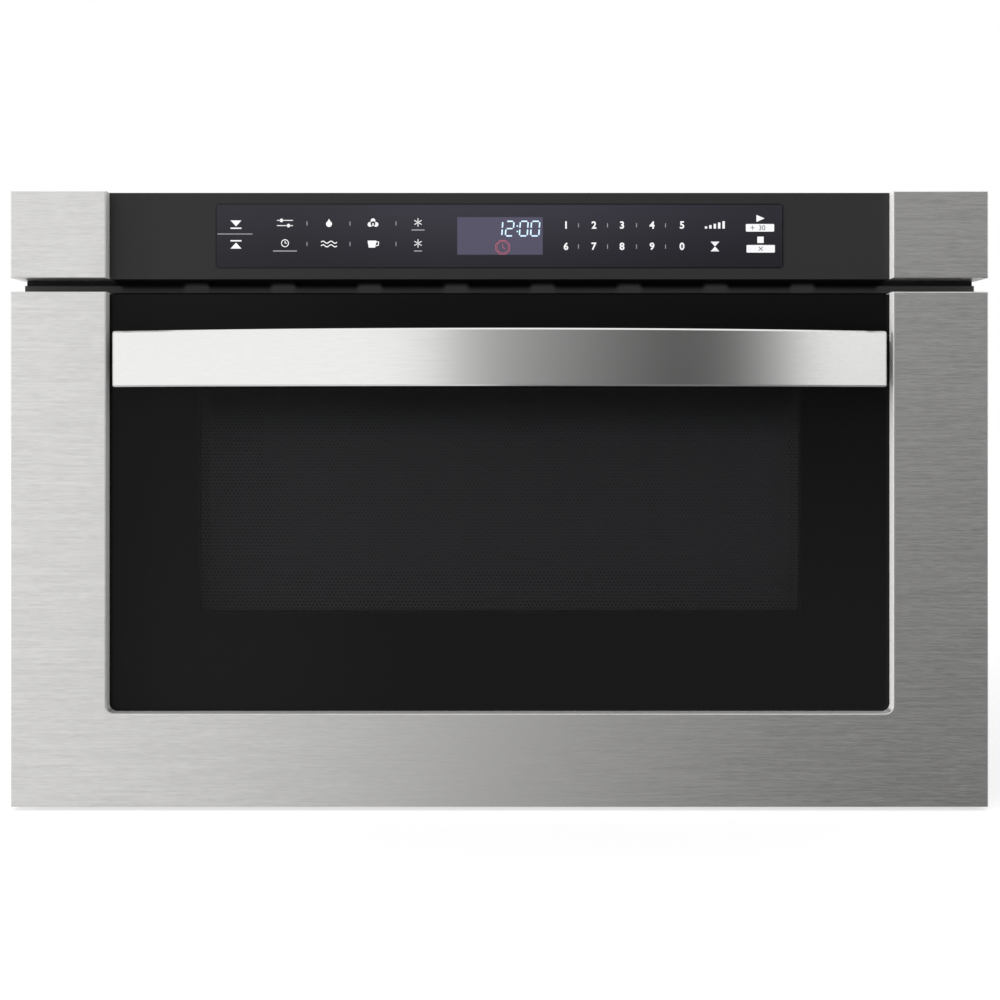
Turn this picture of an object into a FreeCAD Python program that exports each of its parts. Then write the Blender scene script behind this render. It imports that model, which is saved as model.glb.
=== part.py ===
import FreeCAD, Part
import math
import os
import Sketcher
from FreeCAD import Placement, Rotation, Vector

# A built-in microwave drawer. Lengths are in millimetres.
# +X is to the right, +Y runs back into the cabinet and +Z is up. Y = 0 is the cabinet's front plane,
# Z = 0 is the shelf that the chassis stands on, and the drawer opens along -Y.

DRIVING_SIZES = {
    # the face that the room sees
    "face_width": 607.0,
    "face_bottom": 2.5,
    "drawer_face_height": 320.0,
    "face_gap": 8.5,
    "control_height": 54.0,
    "column_width": 59.2,
    "rail_height": 58.0,
    "face_depth": 26.7,
    "face_gauge": 0.8,
    "opening_corner": 5.0,
    "fold_radius": 0.8,
    "panel_setback": 8.0,
    "glass_thickness": 4.0,
    "glass_lap": 9.0,
    "glass_top_drop": 1.0,
    "door_clearance": 0.8,
    # the bowed handle
    "handle_end_gap": 4.8,
    "handle_height": 34.4,
    "handle_thickness": 7.0,
    "handle_bow": 37.0,
    "handle_end_reach": 4.0,
    "handle_top_drop": 24.8,
    "handle_bevel": 1.0,
    "handle_corner": 1.5,
    "post_width": 16.0,
    "post_height": 24.0,
    "post_inset": 9.0,
    # the layers behind the glass
    "carrier_thickness": 8.0,
    "carrier_web": 3.0,
    "carrier_rib": 3.0,
    "window_width": 383.0,
    "window_height": 150.0,
    "window_floor": 120.0,
    "screen_gauge": 0.6,
    "screen_play": 0.4,
    "backplate_gauge": 1.2,
    "backplate_margin": 12.0,
    "backplate_lip": 8.0,
    "choke_margin": 24.0,
    "choke_band": 34.0,
    "choke_groove": 14.0,
    "choke_wall": 1.0,
    "sheet_play": 0.3,
    "inner_window_gauge": 1.5,
    # the control strip
    "housing_wall": 3.5,
    "housing_inset": 1.0,
    "touch_width": 355.0,
    "touch_height": 40.0,
    "touch_thickness": 2.0,
    "touch_corner": 2.0,
    "touch_proud": 0.3,
    "touch_play": 0.2,
    "display_width": 53.5,
    "display_height": 24.0,
    "display_depth": 9.0,
    "board_thickness": 1.6,
    "board_width": 340.0,
    "board_height": 34.0,
    "wiring_width": 60.0,
    "wiring_height": 20.0,
    # the vent strip in the gap above the drawer
    "vent_depth": 8.0,
    "vent_recess": 4.0,
    "vent_step": 4.6,
    "vent_clearance": 0.6,
    "vent_bump_pitch": 54.9,
    "vent_bump_width": 17.0,
    "vent_bump_drop": 0.8,
    "vent_bump_corner": 2.4,
    "vent_bumps": 8.0,
    # the chassis box
    "front_gauge": 1.2,
    "flange_inset": 2.5,
    "flange_overhang": 23.0,
    "flange_foot": 3.0,
    "slot_play": 4.0,
    "chassis_top_drop": 13.0,
    "sheet_gauge": 1.2,
    "hem": 12.0,
    "side_hem": 8.0,
    "screw_gap": 4.0,
    "screw_spacing_z": 240.0,
    "screw_centre_z": 180.0,
    "screw_hole_radius": 2.5,
    "base_rib_width": 18.0,
    "base_rib_height": 4.0,
    "base_rib_offset": 170.0,
    "base_rib_front": 60.0,
    "base_rib_rear_gap": 130.0,
    "vent_slot_width": 60.0,
    "vent_slot_height": 4.0,
    "vent_slot_pitch": 10.0,
    "vent_slot_rows": 10.0,
    "vent_slot_inner": 70.0,
    "vent_slot_bottom": 190.0,
    "cord_x": -210.0,
    "cord_z": 130.0,
    "cord_bush_radius": 9.0,
    "cord_hole_radius": 4.5,
    "cord_bush_length": 16.0,
    "cord_lip": 3.0,
    # room left around the cavity for what runs or stands there
    "side_bay": 56.8,
    "top_bay": 85.8,
    "rear_bay": 71.0,
    # the cooking cavity
    "cavity_depth": 412.0,
    "cavity_floor_gap": 10.0,
    "cavity_gauge": 1.0,
    "mouth_flange": 8.0,
    "port_width": 82.0,
    "port_depth": 74.0,
    "waveguide_width": 90.0,
    "waveguide_height": 40.0,
    "waveguide_gauge": 1.0,
    "waveguide_tail": 44.0,
    "lamp_y": 208.0,
    "lamp_drop": 34.0,
    "lamp_width": 36.0,
    "lamp_height": 30.0,
    "lamp_reach": 26.0,
    "lamp_cap_radius": 9.0,
    "lamp_cap_length": 12.0,
    # the stirrer under the ceiling
    "stirrer_y": 210.0,
    "stirrer_radius": 58.0,
    "stirrer_drop": 11.0,
    "stirrer_shaft_radius": 2.5,
    "stirrer_shaft_grip": 14.0,
    "stirrer_hub_radius": 9.0,
    "stirrer_hub_height": 5.0,
    "vane_gauge": 1.5,
    "vane_root": 12.0,
    "vane_tip": 34.0,
    "vane_point": 6.0,
    "stirrer_motor_radius": 22.0,
    "stirrer_motor_height": 18.0,
    "stirrer_ear_width": 60.0,
    "stirrer_ear_depth": 12.0,
    "stirrer_ear_gauge": 1.5,
    "stirrer_cover_width": 150.0,
    "stirrer_cover_depth": 22.0,
    "stirrer_cover_wall": 2.0,
    "stirrer_cover_corner": 12.0,
    "shaft_play": 0.05,
    "shaft_end_gap": 1.0,
    # the tray that carries the food
    "tray_play": 4.0,
    "tray_wall": 3.0,
    "tray_floor": 4.0,
    "tray_height": 104.0,
    "tray_lip": 24.0,
    "tray_corner": 28.0,
    "glide_height": 1.7,
    "glide_running_gap": 0.3,
    "glide_width": 14.0,
    "glide_spacing": 300.0,
    "glide_front": 30.0,
    "glide_rear_gap": 20.0,
    # ball-bearing slides
    "slide_front": 4.0,
    "slide_rear_gap": 20.0,
    "slide_centre": 104.0,
    "slide_thickness": 12.7,
    "slide_gauge": 1.2,
    "slide_web_gap": 0.2,
    "ball_radius": 2.0,
    "ball_play": 0.1,
    "outer_ball_reach": 6.2,
    "outer_ball_rise": 19.35,
    "inner_ball_reach": 7.5,
    "race_corner": 1.5,
    "outer_race_wrap": 90.0,
    "inner_race_wrap": 45.0,
    "cage_gauge": 0.6,
    "cage_play": 0.3,
    "cage_tip_gap": 0.4,
    "cage_length": 200.0,
    "cage_margin": 11.0,
    # the carriage that joins the drawer to its slides
    "arm_gauge": 1.5,
    "arm_drop": 4.0,
    "arm_rise": 24.0,
    "arm_tab": 22.0,
    "tab_gap": 1.0,
    "crossbar_depth": 20.0,
    "crossbar_height": 16.0,
    "crossbar_gap": 2.5,
    # the latch hooks and the switches that they close
    "latch_gap": 12.0,
    "latch_width": 8.0,
    "latch_bottom": 210.0,
    "latch_height": 24.0,
    "latch_foot": 3.0,
    "latch_inset": 6.0,
    "latch_slot_play": 2.0,
    "latch_reach": 22.0,
    "latch_barb_length": 6.0,
    "latch_barb_rise": 3.0,
    "switch_width": 10.0,
    "switch_depth": 30.0,
    "switch_height": 17.5,
    "switch_gap": 4.5,
    "switch_back": 4.0,
    # the rack and pinion drive
    "tray_left_inside": 32.0,
    "gear_module": 1.5,
    "pinion_teeth": 18.0,
    "wheel_teeth": 40.0,
    "motor_teeth": 18.0,
    "backlash": 0.14,
    "gear_y": 40.0,
    "gear_floor_gap": 5.3,
    "rack_width": 12.0,
    "rack_back": 14.5,
    "pinion_width": 14.0,
    "wheel_width": 7.0,
    "axle_radius": 4.0,
    "gear_side_gap": 4.0,
    "bracket_gauge": 1.5,
    "bracket_margin": 13.0,
    "bracket_head": 9.0,
    "motor_plate_margin": 24.0,
    "motor_plate_head": 20.0,
    "motor_radius": 20.0,
    "motor_length": 52.0,
    "motor_bell_radius": 12.0,
    "motor_bell_length": 6.0,
    "motor_shaft_radius": 3.0,
    "motor_shaft_grip": 2.5,
    # the magnetron
    "magnetron_rear_gap": 65.8,
    "magnetron_plate_width": 88.0,
    "magnetron_plate_depth": 76.0,
    "magnetron_gauge": 3.0,
    "magnetron_width": 80.0,
    "magnetron_depth": 68.0,
    "magnetron_height": 66.0,
    "magnetron_core_radius": 18.0,
    "magnetron_fins": 6.0,
    "magnetron_fin_pitch": 9.0,
    "magnetron_fin_gauge": 1.0,
    "magnetron_fin_inset": 2.0,
    "magnetron_box_width": 60.0,
    "magnetron_box_depth": 52.0,
    "magnetron_box_height": 34.0,
    "antenna_radius": 8.0,
    "antenna_height": 26.0,
    "antenna_hole_play": 5.0,
    # the supply parts on the base and on the rear wall
    "transformer_x": -190.0,
    "core_width": 96.0,
    "core_depth": 50.0,
    "core_height": 72.0,
    "coil_width": 72.0,
    "coil_depth": 64.0,
    "coil_rear_gap": 2.8,
    "coil_rise": 14.0,
    "coil_height": 44.0,
    "core_foot_width": 120.0,
    "core_foot_depth": 38.0,
    "core_foot_gauge": 2.0,
    "capacitor_x": 120.0,
    "capacitor_rear_gap": 40.8,
    "capacitor_length": 92.0,
    "capacitor_depth": 34.0,
    "capacitor_height": 54.0,
    "capacitor_corner": 16.0,
    "terminal_length": 8.0,
    "terminal_width": 10.0,
    "filter_size": 80.0,
    "filter_gauge": 1.6,
    "filter_standoff": 8.4,
    "filter_post": 8.0,
    "filter_rise": 90.0,
    "filter_coil_radius": 16.0,
    "filter_coil_length": 20.0,
    # the fan beside the magnetron
    "fan_gap": 28.0,
    "fan_rear_wall": 6.3,
    "fan_drop": 50.0,
    "fan_radius": 52.0,
    "fan_tip_gap": 1.5,
    "fan_rim": 4.0,
    "fan_depth": 26.0,
    "fan_set_in": 4.0,
    "fan_hub_radius": 15.0,
    "fan_hub_length": 16.0,
    "fan_blades": 5.0,
    "fan_blade_gauge": 1.6,
    "fan_blade_chord": 22.0,
    "fan_blade_pitch": 52.0,
    "fan_shaft_radius": 3.0,
    "fan_shaft_length": 16.0,
    "fan_motor_gap": 4.0,
    "fan_motor_radius": 24.0,
    "fan_motor_length": 30.0,
    "fan_strut_gauge": 3.0,
    "fan_strut_height": 16.0,
}

document = FreeCAD.newDocument("microwave_drawer")
sheet = document.addObject("Spreadsheet::Sheet", "Dims")
for row, (alias, number) in enumerate(DRIVING_SIZES.items(), start=1):
    sheet.set(f"A{row}", alias)
    sheet.set(f"B{row}", str(number))
    sheet.setAlias(f"B{row}", alias)
document.recompute()


class Size:
    """A length written as a formula on the sheet's cells, ready for setExpression."""

    def __init__(self, formula):
        self.formula = formula

    def _join(self, sign, other, swap=False):
        left, right = (other, self) if swap else (self, other)
        return Size(f"({written(left)} {sign} {written(right)})")

    def __add__(self, other):
        return self._join("+", other)

    def __radd__(self, other):
        return self._join("+", other, swap=True)

    def __sub__(self, other):
        return self._join("-", other)

    def __rsub__(self, other):
        return self._join("-", other, swap=True)

    def __mul__(self, other):
        return self._join("*", other)

    def __rmul__(self, other):
        return self._join("*", other, swap=True)

    def __truediv__(self, other):
        return self._join("/", other)

    def __neg__(self):
        return Size(f"(0 - {self.formula})")


def written(term):
    """The formula of a size, or a bare number as text."""
    return term.formula if isinstance(term, Size) else f"{term:g}"


def number_of(term):
    """The present value of a size in millimetres."""
    return float(sheet.evalExpression(written(term)))


class Dims:
    """Gives each driving size as a formula by its name."""

    def __getattr__(self, alias):
        if alias not in DRIVING_SIZES:
            raise AttributeError(alias)
        return Size(f"Dims.{alias}")


d = Dims()

# Places that several pieces share, each worked out from the driving sizes.
FLANGE_FRONT = -d.front_gauge
DOOR_BACK = FLANGE_FRONT - d.door_clearance
FACE_FRONT = DOOR_BACK - d.face_depth
PANEL_FRONT = FACE_FRONT + d.panel_setback
HALF_FACE = d.face_width / 2
HALF_OPENING = HALF_FACE - d.column_width
DRAWER_TOP = d.face_bottom + d.drawer_face_height
RAIL_TOP = d.face_bottom + d.rail_height
CONTROL_BOTTOM = DRAWER_TOP + d.face_gap
CONTROL_TOP = CONTROL_BOTTOM + d.control_height
CONTROL_CENTRE = CONTROL_BOTTOM + d.control_height / 2
GLASS_BACK = PANEL_FRONT + d.glass_thickness
CARRIER_BACK = GLASS_BACK + d.carrier_thickness
BACKPLATE_BACK = CARRIER_BACK + d.backplate_gauge
HALF_GLASS = HALF_OPENING + d.glass_lap
GLASS_FOOT = RAIL_TOP - d.glass_lap
GLASS_TOP = DRAWER_TOP - d.glass_top_drop
WINDOW_TOP = d.window_floor + d.window_height
# the gears stand on the base and the rack on the gears
PITCH_RADIUS = d.gear_module * d.pinion_teeth / 2
WHEEL_RADIUS = d.gear_module * d.wheel_teeth / 2
WHEEL_TIP = WHEEL_RADIUS + d.gear_module
MOTOR_PITCH_RADIUS = d.gear_module * d.motor_teeth / 2
GEAR_Z = d.sheet_gauge + WHEEL_TIP + d.gear_floor_gap
PITCH_LINE = GEAR_Z + PITCH_RADIUS
RACK_TIPS = PITCH_LINE - d.gear_module
MOTOR_Y = d.gear_y + WHEEL_RADIUS + MOTOR_PITCH_RADIUS
# the open drawer's crossbar stops just behind the gears, which sets the depth of the whole
DRAWER_TRAVEL = d.cavity_depth - d.tray_left_inside
CROSSBAR_FRONT = d.gear_y + WHEEL_TIP + DRAWER_TRAVEL + d.crossbar_gap
CROSSBAR_REAR = CROSSBAR_FRONT + d.crossbar_depth
CROSSBAR_BOTTOM = PITCH_LINE + d.rack_back
CROSSBAR_TOP = CROSSBAR_BOTTOM + d.crossbar_height
CHASSIS_DEPTH = CROSSBAR_REAR + d.rear_bay
HALF_FLANGE = HALF_FACE - d.flange_inset
HALF_CHASSIS = HALF_FLANGE - d.flange_overhang
CHASSIS_TOP = CONTROL_TOP - d.chassis_top_drop
SIDE_INNER = HALF_CHASSIS - d.sheet_gauge
REAR_INNER = CHASSIS_DEPTH - d.sheet_gauge
TOP_INNER = CHASSIS_TOP - d.sheet_gauge
SCREW_X = HALF_CHASSIS + d.side_hem + d.screw_gap
HALF_CAVITY = SIDE_INNER - d.side_bay
CAVITY_FLOOR = CROSSBAR_TOP + d.cavity_floor_gap + d.cavity_gauge
CAVITY_CEILING = TOP_INNER - d.top_bay
DUCT_FLOOR = CAVITY_CEILING + d.cavity_gauge
DUCT_TOP = DUCT_FLOOR + d.waveguide_height
CHOKE_FOOT = CAVITY_FLOOR - d.choke_margin
ARM_OUTER = SIDE_INNER - d.slide_thickness
ARM_INNER = ARM_OUTER - d.arm_gauge
ARM_BOTTOM = CROSSBAR_BOTTOM - d.arm_drop
ARM_TOP = d.slide_centre + d.arm_rise
SLIDE_LENGTH = CROSSBAR_REAR - d.slide_rear_gap - d.slide_front
# an outer cage runs a quarter of the drawer's travel towards the front
CAGE_FRONT = d.slide_front + DRAWER_TRAVEL / 4 + d.cage_margin
LATCH_X = HALF_CAVITY + d.choke_margin + d.latch_gap
LATCH_TOP = d.latch_bottom + d.latch_height
MAGNETRON_Y = REAR_INNER - d.magnetron_rear_gap
ANTENNA_HOLE = d.antenna_radius + d.antenna_hole_play
FAN_X = d.magnetron_plate_width / 2 + d.fan_gap
FAN_INNER = d.fan_radius + d.fan_tip_gap
FAN_Y = REAR_INNER - d.fan_rear_wall - FAN_INNER
FAN_Z = DUCT_FLOOR - d.fan_drop
ZERO = Size("0")

pieces = []  # every sub-part that gets a file of its own


def bind(thing, **formulas):
    """Bind properties to formulas. A double underscore in a name stands for a dot."""
    for name, term in formulas.items():
        thing.setExpression(name.replace("__", "."), written(term))
    return thing


def move_to(thing, x, y, z):
    """Bind the place of an object to three formulas."""
    return bind(thing, Placement__Base__x=x, Placement__Base__y=y, Placement__Base__z=z)


def piece(thing, label):
    """Name a finished sub-part and put it on the list."""
    thing.Label = label
    pieces.append(thing)
    return thing


# ---------------------------------------------------------------- primitives and booleans


def block(name, x, y, z):
    """A box between two planes along each axis."""
    box = document.addObject("Part::Box", name)
    bind(box, Length=x[1] - x[0], Width=y[1] - y[0], Height=z[1] - z[0])
    return move_to(box, x[0], y[0], z[0])


TURN_TO = {
    "X": Rotation(Vector(0, 1, 0), 90),
    "Y": Rotation(Vector(1, 0, 0), -90),
    "Z": Rotation(),
}


def round_bar(name, axis, radius, start, length):
    """A cylinder that runs from start along a row axis."""
    bar = document.addObject("Part::Cylinder", name)
    bar.Placement = Placement(Vector(), TURN_TO[axis])
    bind(bar, Radius=radius, Height=length)
    return move_to(bar, *start)


def cut(name, base, *tools):
    """The base less all the tools."""
    result = document.addObject("Part::Cut", name)
    result.Base = base
    result.Tool = tools[0] if len(tools) == 1 else joined(name + "_tools", *tools)
    return result


def joined(name, *parts):
    result = document.addObject("Part::MultiFuse", name)
    result.Shapes = list(parts)
    result.Refine = True
    return result


def grouped(name, *parts):
    """Separate solids that share one node."""
    result = document.addObject("Part::Compound", name)
    result.Links = list(parts)
    return result


def mirrored(name, source):
    """The left-hand twin of a right-hand piece."""
    twin = document.addObject("Part::Mirroring", name)
    twin.Source = source
    twin.Normal = Vector(1, 0, 0)
    return twin


def pair(name, right):
    """A right-hand piece and its mirror image, as two sub-parts."""
    piece(right, name + "_right")
    piece(mirrored(name + "_mirror", right), name + "_left")


def twins(label, right):
    """A right-hand piece and its mirror image as two solids of one sub-part."""
    piece(grouped(label + "_group", right, mirrored(label + "_mirror", right)), label)


def plain(name, shape):
    """A shape made by Part's own functions from numbers on the sheet."""
    feature = document.addObject("Part::Feature", name)
    feature.Shape = shape
    return feature


# ---------------------------------------------------------------- sketches and bodies

PLANES = {"X": "YZ_Plane", "Y": "XZ_Plane", "Z": "XY_Plane"}
NORMAL_SIGN = {"X": 1, "Y": -1, "Z": 1}


def origin_plane(body, axis):
    return next(p for p in body.Origin.OriginFeatures if p.Role == PLANES[axis])


def sketch_at(body, axis, level, *outlines):
    """A sketch square to a row axis. On X it shows Y and Z, on Y it shows X and Z, on Z it shows X and Y."""
    sketch = body.newObject("Sketcher::SketchObject", "Sketch")
    sketch.AttachmentSupport = [(origin_plane(body, axis), "")]
    sketch.MapMode = "FlatFace"
    bind(sketch, AttachmentOffset__Base__z=level * NORMAL_SIGN[axis])
    for draw in outlines:
        draw(sketch)
    return sketch


def pad(body, axis, level, depth, *outlines):
    """Material from a level towards the positive end of the axis."""
    feature = body.newObject("PartDesign::Pad", "Pad")
    feature.Profile = sketch_at(body, axis, level, *outlines)
    feature.Reversed = NORMAL_SIGN[axis] < 0
    bind(feature, Length=depth)
    return feature


def pocket(body, axis, level, depth, *outlines):
    """Material taken away from a level towards the positive end of the axis."""
    feature = body.newObject("PartDesign::Pocket", "Pocket")
    feature.Profile = sketch_at(body, axis, level, *outlines)
    feature.Reversed = NORMAL_SIGN[axis] > 0
    bind(feature, Length=depth)
    return feature


def new_body(name):
    return document.addObject("PartDesign::Body", name)


def hold(sketch, index, end, u, v):
    """Fix one end of a line at a place given by two formulas."""
    for kind, term in (("DistanceX", u), ("DistanceY", v)):
        here = sketch.addConstraint(Sketcher.Constraint(kind, -1, 1, index, end, number_of(term)))
        sketch.setExpression(f"Constraints[{here}]", written(term))


def outline(corners):
    """A closed outline of straight sides. A third value rounds a square corner."""

    def draw(sketch):
        flat = [(number_of(c[0]), number_of(c[1])) for c in corners]
        stations = []
        for i, corner in enumerate(corners):
            if len(corner) == 2:
                stations.append((corner[:2], corner[:2], None))
                continue
            u, v, radius = corner
            before, after = flat[i - 1], flat[(i + 1) % len(flat)]
            back = [(b > h) - (b < h) for b, h in zip(before, flat[i])]
            ahead = [(a > h) - (a < h) for a, h in zip(after, flat[i])]
            enter = (u + radius * back[0], v + radius * back[1])
            leave = (u + radius * ahead[0], v + radius * ahead[1])
            stations.append((enter, leave, radius))
        first = sketch.GeometryCount
        for i, (_, leave, _) in enumerate(stations):
            enter = stations[(i + 1) % len(stations)][0]
            a = Vector(number_of(leave[0]), number_of(leave[1]), 0)
            b = Vector(number_of(enter[0]), number_of(enter[1]), 0)
            sketch.addGeometry(Part.LineSegment(a, b), False)
        for i, (enter, leave, radius) in enumerate(stations):
            before, after = first + (i - 1) % len(stations), first + i
            hold(sketch, after, 1, *leave)
            if radius is None:
                sketch.addConstraint(Sketcher.Constraint("Coincident", before, 2, after, 1))
                continue
            hold(sketch, before, 2, *enter)
            round_corner(sketch, before, after, corners[i], enter, leave, radius)

    return draw


def round_corner(sketch, before, after, corner, enter, leave, radius):
    """A quarter arc between two sides that meet at a right angle."""
    r = number_of(radius)
    p, q, c = ([number_of(t) for t in place[:2]] for place in (enter, leave, corner))
    centre = Vector(p[0] + q[0] - c[0], p[1] + q[1] - c[1], 0)
    start = math.atan2(p[1] - centre.y, p[0] - centre.x)
    end = math.atan2(q[1] - centre.y, q[0] - centre.x)
    turn = (end - start) % (2 * math.pi)
    anticlockwise = turn < math.pi
    span = (start, end) if anticlockwise else (end, start)
    arc = sketch.addGeometry(Part.ArcOfCircle(Part.Circle(centre, Vector(0, 0, 1), r), *span), False)
    first_end, last_end = (1, 2) if anticlockwise else (2, 1)
    sketch.addConstraint(Sketcher.Constraint("Coincident", before, 2, arc, first_end))
    sketch.addConstraint(Sketcher.Constraint("Coincident", after, 1, arc, last_end))
    here = sketch.addConstraint(Sketcher.Constraint("Radius", arc, r))
    sketch.setExpression(f"Constraints[{here}]", written(radius))


def rectangle(left, right, low, high, radius=None):
    corners = [(left, low), (right, low), (right, high), (left, high)]
    return outline(corners if radius is None else [(*c, radius) for c in corners])


def circle(u, v, radius):
    """A full circle held at its centre."""

    def draw(sketch):
        place = Vector(number_of(u), number_of(v), 0)
        shape = Part.Circle(place, Vector(0, 0, 1), number_of(radius))
        index = sketch.addGeometry(shape, False)
        hold(sketch, index, 3, u, v)
        here = sketch.addConstraint(Sketcher.Constraint("Radius", index, number_of(radius)))
        sketch.setExpression(f"Constraints[{here}]", written(radius))

    return draw


def edges_of(feature, test):
    """Names of the edges that pass a test, for a fillet or a chamfer."""
    document.recompute()
    return [f"Edge{i}" for i, edge in enumerate(feature.Shape.Edges, start=1) if test(edge)]


def dressed(body, kind, feature, size, test):
    """A fillet or a chamfer on the edges that pass a test."""
    names = edges_of(feature, test)
    result = body.newObject(f"PartDesign::{kind}", kind)
    result.Base = (feature, names)
    bind(result, **{"Radius" if kind == "Fillet" else "Size": size})
    return result


def along(edge, axis):
    """Is an edge straight and in line with a row axis?"""
    if edge.Curve.TypeId != "Part::GeomLine":
        return False
    return abs(abs(getattr(edge.Curve.Direction, axis.lower())) - 1) < 1e-6


def front_edges(level):
    """A test for the edges that lie in one plane square to Y."""
    plane = number_of(level)

    def lies_there(edge):
        box = edge.BoundBox
        return abs(box.YMin - plane) < 1e-6 and abs(box.YMax - plane) < 1e-6

    return lies_there


def about(centre, size, play=0):
    """Low and high side of a size set evenly about a centre, with play on each side."""
    return centre - size / 2 - play, centre + size / 2 + play


# ---------------------------------------------------------------- the drawer's face


def drawer_u(inset):
    """The U of the drawer's face, its outer and inner sides moved in by the sheet's thickness."""
    outer, low, top = HALF_FACE - inset, d.face_bottom + inset, DRAWER_TOP - inset
    inner, rail, corner = HALF_OPENING + inset, RAIL_TOP - inset, d.opening_corner + inset
    right = [(outer, low), (outer, top), (inner, top), (inner, rail, corner)]
    left = [(-c[0], *c[1:]) for c in reversed(right)]
    return outline([*right, *left])


def make_drawer_face():
    """Brushed steel folded into a U: two columns and a rail, with returned edges."""
    body = new_body("drawer_face_body")
    t = d.face_gauge
    blank = pad(body, "Y", FACE_FRONT, d.face_depth, drawer_u(ZERO))
    dressed(body, "Fillet", blank, d.fold_radius, front_edges(FACE_FRONT))
    pocket(body, "Y", FACE_FRONT + t, d.face_depth, drawer_u(t))
    behind = rectangle(-HALF_OPENING - t, HALF_OPENING + t, RAIL_TOP - t, DRAWER_TOP + t)
    pocket(body, "Y", PANEL_FRONT, d.face_depth, behind)
    piece(body, "drawer_face")


def make_glass():
    body = new_body("door_glass_body")
    shape = rectangle(-HALF_GLASS, HALF_GLASS, GLASS_FOOT, GLASS_TOP)
    pad(body, "Y", PANEL_FRONT, d.glass_thickness, shape)
    piece(body, "door_glass")


def window(grow=0):
    """The window's outline, grown or shrunk all round."""
    half = d.window_width / 2 + grow
    return rectangle(-half, half, d.window_floor - grow, WINDOW_TOP + grow)


def make_carrier():
    """Moulded frame that holds the glass, cored out behind to an even wall."""
    body = new_body("glass_carrier_body")
    frame = rectangle(-HALF_GLASS, HALF_GLASS, GLASS_FOOT, GLASS_TOP)
    pad(body, "Y", GLASS_BACK, d.carrier_thickness, frame, window())
    rib = d.carrier_rib
    half_window = d.window_width / 2
    cells = [
        rectangle(half_window + rib, HALF_GLASS - rib, GLASS_FOOT + rib, GLASS_TOP - rib),
        rectangle(rib - HALF_GLASS, -half_window - rib, GLASS_FOOT + rib, GLASS_TOP - rib),
        rectangle(-half_window, half_window, GLASS_FOOT + rib, d.window_floor - rib),
        rectangle(-half_window, half_window, WINDOW_TOP + rib, GLASS_TOP - rib),
    ]
    pocket(body, "Y", GLASS_BACK + d.carrier_web, d.carrier_thickness, *cells)
    piece(body, "glass_carrier")


def make_screen():
    """Perforated steel sheet in the carrier's window. Its holes are too fine to model here."""
    half = d.window_width / 2 - d.screen_play
    low, high = d.window_floor + d.screen_play, WINDOW_TOP - d.screen_play
    screen = block("screen", (-half, half), (CARRIER_BACK - d.screen_gauge, CARRIER_BACK), (low, high))
    piece(screen, "window_screen")


def make_backplate():
    """Steel plate that ties the face, the choke and the carriage arms together."""
    body = new_body("door_backplate_body")
    half = HALF_FACE - d.backplate_margin
    low, high = d.face_bottom + d.backplate_margin, DRAWER_TOP - d.backplate_margin
    sheet_shape = rectangle(-half, half, low, high, d.opening_corner)
    pad(body, "Y", CARRIER_BACK, d.backplate_gauge, sheet_shape, window(-d.backplate_lip))
    piece(body, "door_backplate")


def choke_sides(inset):
    """Left, right, low and high sides of the choke ring, moved in by an inset."""
    half = HALF_CAVITY + d.choke_margin - inset
    return -half, half, CHOKE_FOOT + inset, CAVITY_CEILING + d.choke_margin - inset


def choke_outline(inset):
    return rectangle(*choke_sides(inset))


def make_choke():
    """Folded ring on the door's back. Its groove traps microwaves at the cavity's mouth."""
    body = new_body("choke_frame_body")
    depth = DOOR_BACK - BACKPLATE_BACK
    wall, groove_far = d.choke_wall, d.choke_wall + d.choke_groove
    pad(body, "Y", BACKPLATE_BACK, depth, choke_outline(ZERO), choke_outline(d.choke_band))
    pocket(body, "Y", BACKPLATE_BACK + wall, depth, choke_outline(wall), choke_outline(groove_far))
    piece(body, "choke_frame")
    cover = new_body("choke_cover_body")
    ring = (choke_outline(wall + d.sheet_play), choke_outline(groove_far - d.sheet_play))
    pad(cover, "Y", BACKPLATE_BACK + wall, depth - wall, *ring)
    piece(cover, "choke_cover")


def make_inner_window():
    """Clear sheet that keeps steam off the screen, inside the choke ring."""
    left, right, low, high = choke_sides(d.choke_band + d.sheet_play)
    depth = (BACKPLATE_BACK, BACKPLATE_BACK + d.inner_window_gauge)
    piece(block("inner_sheet", (left, right), depth, (low, high)), "inner_window")


# ---------------------------------------------------------------- the handle

HANDLE_TOP = DRAWER_TOP - d.handle_top_drop
HANDLE_FOOT = HANDLE_TOP - d.handle_height
HALF_HANDLE = HALF_OPENING - d.handle_end_gap
BOW_RADIUS = (HALF_HANDLE * HALF_HANDLE + d.handle_bow * d.handle_bow) / (2 * d.handle_bow)
HANDLE_TIP = FACE_FRONT - d.handle_end_reach
BOW_CENTRE = HANDLE_TIP - d.handle_bow + BOW_RADIUS


def bow_arc(sketch, radius):
    """One long arc of the bar, seen from above, held at its centre and at its two ends."""
    r, half = number_of(radius), number_of(HALF_HANDLE)
    centre = Vector(0, number_of(BOW_CENTRE), 0)
    lean = math.asin(half / r)
    span = (-math.pi / 2 - lean, -math.pi / 2 + lean)
    arc = sketch.addGeometry(Part.ArcOfCircle(Part.Circle(centre, Vector(0, 0, 1), r), *span), False)
    hold(sketch, arc, 3, ZERO, BOW_CENTRE)
    here = sketch.addConstraint(Sketcher.Constraint("Radius", arc, r))
    sketch.setExpression(f"Constraints[{here}]", written(radius))
    for end, place in ((1, -HALF_HANDLE), (2, HALF_HANDLE)):
        here = sketch.addConstraint(Sketcher.Constraint("DistanceX", -1, 1, arc, end, number_of(place)))
        sketch.setExpression(f"Constraints[{here}]", written(place))
    return arc


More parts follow.
